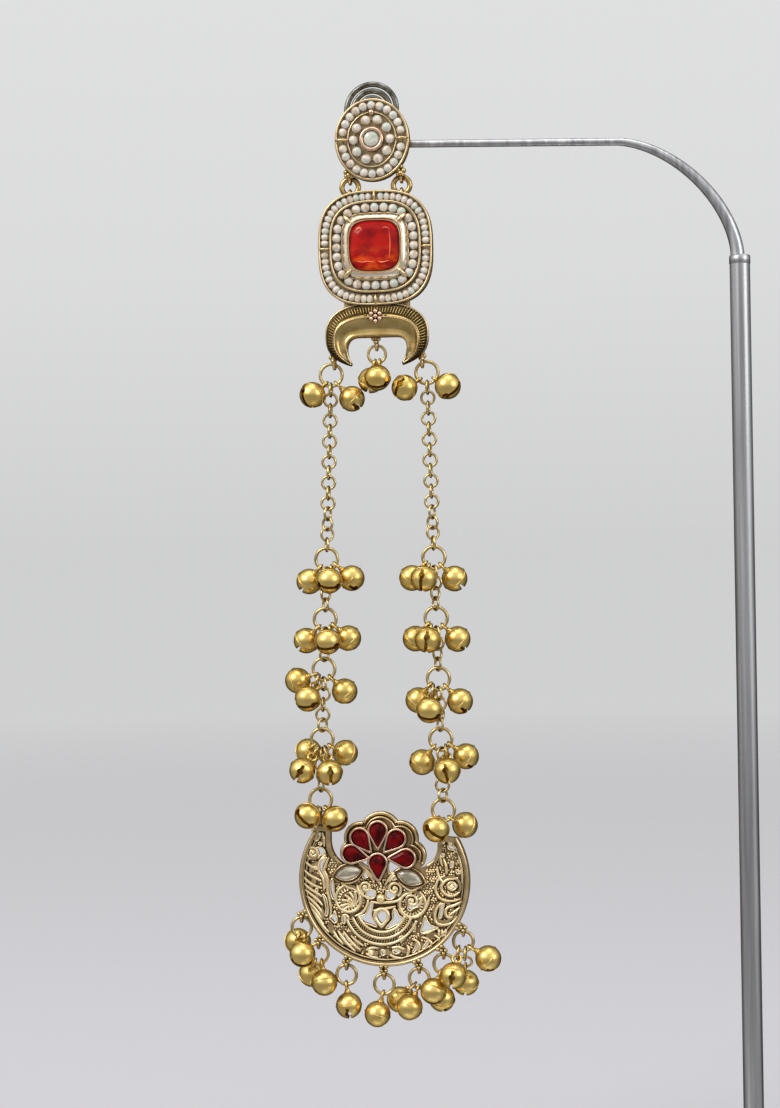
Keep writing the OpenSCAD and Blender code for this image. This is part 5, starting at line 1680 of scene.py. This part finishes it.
@dataclass
class Strings:
    """The rings, chain links and bells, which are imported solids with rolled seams."""

    bell_radius: float = 2.95
    inner_radius: float = 2.6
    tolerance: float = 0.04
    trials: int = 2500
    loop_from: float = 3.6
    seam: float = 0.13
    collar: Place = (0.62, 0.2)
    skin: float = 0.045
    bell_share: float = 1.8

    nodes = ("left_string", "right_string", "centre_bells", "pendant_bells")

    def build(self) -> None:
        """Dresses the strings, skins their rings and rolls a seam and a collar on every bell."""
        dress(BELL_GOLD, *self.nodes)
        seams, skins = Shape(), Shape()
        bells = rings = 0
        for node in self.nodes:
            for points in loose_solids(node):
                if np.ptp(points, axis=0).min() > self.bell_share * self.bell_radius:
                    self.roll(seams, points)
                    bells += 1
                else:
                    self.cover(skins, points)
                    rings += 1
        LOG.info("bells: %d, rings and links: %d", bells, rings)
        seams.piece("bell_seams", BELL_GOLD, Body.DROP, Slot.STRING)
        skins.piece("ring_skins", CHAIN_GOLD, Body.DROP, Slot.STRING)

    def cover(self, skins: Shape, points: np.ndarray) -> None:
        """Covers one ring or link with a thin skin.

        Args:
            skins: The shape that takes it.
            points: The ring's points.
        """
        centre = (points.min(0) + points.max(0)) / 2
        axis = np.linalg.svd(points - points.mean(0), full_matrices=False)[2][2]
        along = (points - centre) @ axis
        wire = np.ptp(along) / 2
        centre = centre + axis * (along.min() + along.max()) / 2
        flat = points - centre - np.outer((points - centre) @ axis, axis)
        skins.ring(centre, axis, np.linalg.norm(flat, axis=1).max() - wire, wire + self.skin, 36)

    def roll(self, seams: Shape, points: np.ndarray) -> None:
        """Rolls the seam round one bell and the collar under its loop.

        Args:
            seams: The shape that takes them.
            points: The bell's points.
        """
        centre = self.middle(points)
        far = np.linalg.norm(points - centre, axis=1)
        axis = points[far > self.loop_from].mean(0) - centre
        axis /= np.linalg.norm(axis)
        seams.ring(centre, axis, self.bell_radius + 0.02, self.seam)
        seams.ring(centre + axis * (self.bell_radius + 0.03), axis, *self.collar, count=18)

    def middle(self, points: np.ndarray) -> np.ndarray:
        """Finds the middle of a bell's shell, which both its skins agree on.

        Args:
            points: The bell's points.

        Returns:
            The middle.
        """
        picks = np.random.default_rng(7).integers(len(points), size=(self.trials, 4))
        four = points[picks]
        sides = 2 * (four[:, 1:] - four[:, :1])
        sums = (four[:, 1:] ** 2).sum(2) - (four[:, :1] ** 2).sum(2)
        good = np.abs(np.linalg.det(sides)) > 1.0
        made = np.linalg.solve(sides[good], sums[good][:, :, None])[:, :, 0]
        far = np.linalg.norm(points[None] - made[:, None], axis=2)
        outer = (np.abs(far - self.bell_radius) < self.tolerance).sum(1)
        inner = (np.abs(far - self.inner_radius) < self.tolerance).sum(1)
        return made[(outer * inner).argmax()]


# ---------------------------------------------------------------- studio


@dataclass
class Studio:
    """Pale floor, soft light and the camera."""

    eye: Spot = (38.73, -494.83, 152.0)
    azimuth: float = 8.0
    roll: float = -0.95
    lens: float = 71.48
    sensor: float = 36.0
    floor_radius: float = 1.6
    floor_low: float = -0.0002
    floor_sides: int = 96
    fade_from: float = 0.35
    aim: Spot = (-0.033, 0.0, 0.15)

    # Columns: name, place and size in metres, watts, colour
    lamps = (("key", (-0.9, -0.95, 1.05), 0.75, 11.0, (1.0, 0.985, 0.96)),
             ("fill", (1.1, -0.6, 0.6), 0.7, 4.0, (0.96, 0.98, 1.0)),
             ("top", (0.05, -0.2, 1.6), 0.9, 6.0, (1.0, 1.0, 1.0)))
    # Columns of the three ramps: place along the direction, grey
    backdrop = ((0.0, 0.72), (0.5, 0.625), (0.5625, 0.71), (0.62, 0.74), (1.0, 0.8))
    room = ((0.0, 0.46), (0.38, 0.4), (0.48, 0.33), (0.53, 0.66), (0.66, 0.95), (1.0, 1.05))
    sides = ((0.0, 0.8), (0.5, 1.0), (0.68, 0.5), (0.85, 0.24), (1.0, 0.2))

    def build(self) -> None:
        """Sets the camera, the world, the lamps and the floor."""
        bpy.context.scene.view_settings.view_transform = "Standard"
        self.camera()
        self.world()
        for lamp in self.lamps:
            self.lamp(*lamp)
        self.floor()

    def camera(self) -> None:
        """Places the camera where the photograph was taken from."""
        data = bpy.data.cameras.new("camera")
        data.sensor_fit = "VERTICAL"
        data.sensor_height = self.sensor
        data.lens = self.lens
        data.clip_start = 0.01
        camera = bpy.data.objects.new("camera", data)
        camera.matrix_world = (Matrix.Translation([MM * c for c in self.eye])
                               @ about_z(self.azimuth) @ about_x(90) @ about_z(self.roll))
        bpy.context.scene.collection.objects.link(camera)
        bpy.context.scene.camera = camera

    def world(self) -> None:
        """Lights the scene from a room that is bright above and dark behind the earring."""
        world = bpy.data.worlds.new("room")
        bpy.context.scene.world = world
        world.use_nodes = True
        nodes, links = world.node_tree.nodes, world.node_tree.links
        nodes.clear()
        way = nodes.new("ShaderNodeTexCoord")
        split = nodes.new("ShaderNodeSeparateXYZ")
        links.new(way.outputs["Generated"], split.inputs[0])

        def graded(axis: str, stops: tuple[Place, ...]) -> bpy.types.NodeSocket:
            """Returns a grey that is looked up along one direction.

            Args:
                axis: The direction.
                stops: Each stop's position and grey.

            Returns:
                The grey's socket.
            """
            unit = nodes.new("ShaderNodeMapRange")
            unit.inputs["From Min"].default_value = -1
            links.new(split.outputs[axis], unit.inputs["Value"])
            look = nodes.new("ShaderNodeValToRGB")
            for k, (position, grey) in enumerate(stops):
                ramp = look.color_ramp.elements
                element = ramp[k] if k < 2 else ramp.new(position)
                element.position = position
                element.color = (grey, grey * 1.003, grey * 1.01, 1)
            links.new(unit.outputs["Result"], look.inputs["Fac"])
            return look.outputs["Color"]

        # Inputs 6 and 7 of a colour mix are its two colours, output 2 its result
        lit = nodes.new("ShaderNodeMix")
        lit.data_type = "RGBA"
        lit.blend_type = "MULTIPLY"
        lit.inputs["Factor"].default_value = 1.0
        links.new(graded("Z", self.room), lit.inputs[6])
        links.new(graded("Y", self.sides), lit.inputs[7])
        ray = nodes.new("ShaderNodeLightPath")
        both = nodes.new("ShaderNodeMix")
        both.data_type = "RGBA"
        links.new(ray.outputs["Is Camera Ray"], both.inputs["Factor"])
        links.new(lit.outputs[2], both.inputs[6])
        links.new(graded("Z", self.backdrop), both.inputs[7])
        back = nodes.new("ShaderNodeBackground")
        links.new(both.outputs[2], back.inputs["Color"])
        links.new(back.outputs[0], nodes.new("ShaderNodeOutputWorld").inputs["Surface"])

    def lamp(self, name: str, place: Spot, size: float, power: float, colour: Colour) -> None:
        """Hangs a soft square lamp that faces the earring.

        Args:
            name: Name of the lamp.
            place: Where it hangs, in metres.
            size: Its side, in metres.
            power: Its power in watts.
            colour: Its colour.
        """
        data = bpy.data.lights.new(name, "AREA")
        data.size = size
        data.energy = power
        data.color = colour
        lamp = bpy.data.objects.new(name, data)
        way = Vector(self.aim) - Vector(place)
        lamp.rotation_euler = way.to_track_quat("-Z", "Y").to_euler()
        lamp.location = place
        bpy.context.scene.collection.objects.link(lamp)

    def floor(self) -> None:
        """Lays the pale floor, which fades into the room."""
        mesh = bpy.data.meshes.new("floor")
        rim = [(self.floor_radius * math.cos(a), self.floor_radius * math.sin(a), self.floor_low)
               for a in np.linspace(0, 2 * math.pi, self.floor_sides + 1)[:-1]]
        mesh.from_pydata(rim, [], [tuple(range(self.floor_sides))])
        floor = bpy.data.objects.new("floor", mesh)
        floor.visible_glossy = False
        bpy.context.scene.collection.objects.link(floor)
        g = Graph("pale floor")
        g.set(Base_Color=(0.56, 0.552, 0.575, 1), Roughness=0.9, Specular_IOR_Level=0.1)
        long = g.node("ShaderNodeVectorMath", operation="LENGTH")
        g.join(g.place, long.inputs[0])
        g.join(g.span(long.outputs["Value"], self.fade_from, self.floor_radius, 1.0, 0.0),
               g.shader.inputs["Alpha"])
        mesh.materials.append(g.material)


def clear_start() -> None:
    """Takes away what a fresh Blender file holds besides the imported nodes."""
    for name in ("Cube", "Light", "Camera"):
        left = bpy.data.objects.get(name)
        if left is not None and "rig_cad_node" not in left:
            bpy.data.objects.remove(left)


def main() -> None:
    """Builds the sub-assemblies in order, then the studio."""
    logging.basicConfig(level=logging.INFO, format="%(name)s %(message)s")
    for part in (Stand(), Stud(), Block(), Horn(), Strings(), Pendant(), Studio()):
        part.build()
        LOG.info("%s done", type(part).__name__)


clear_start()
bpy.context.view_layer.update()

if __name__ == "__main__":
    main()
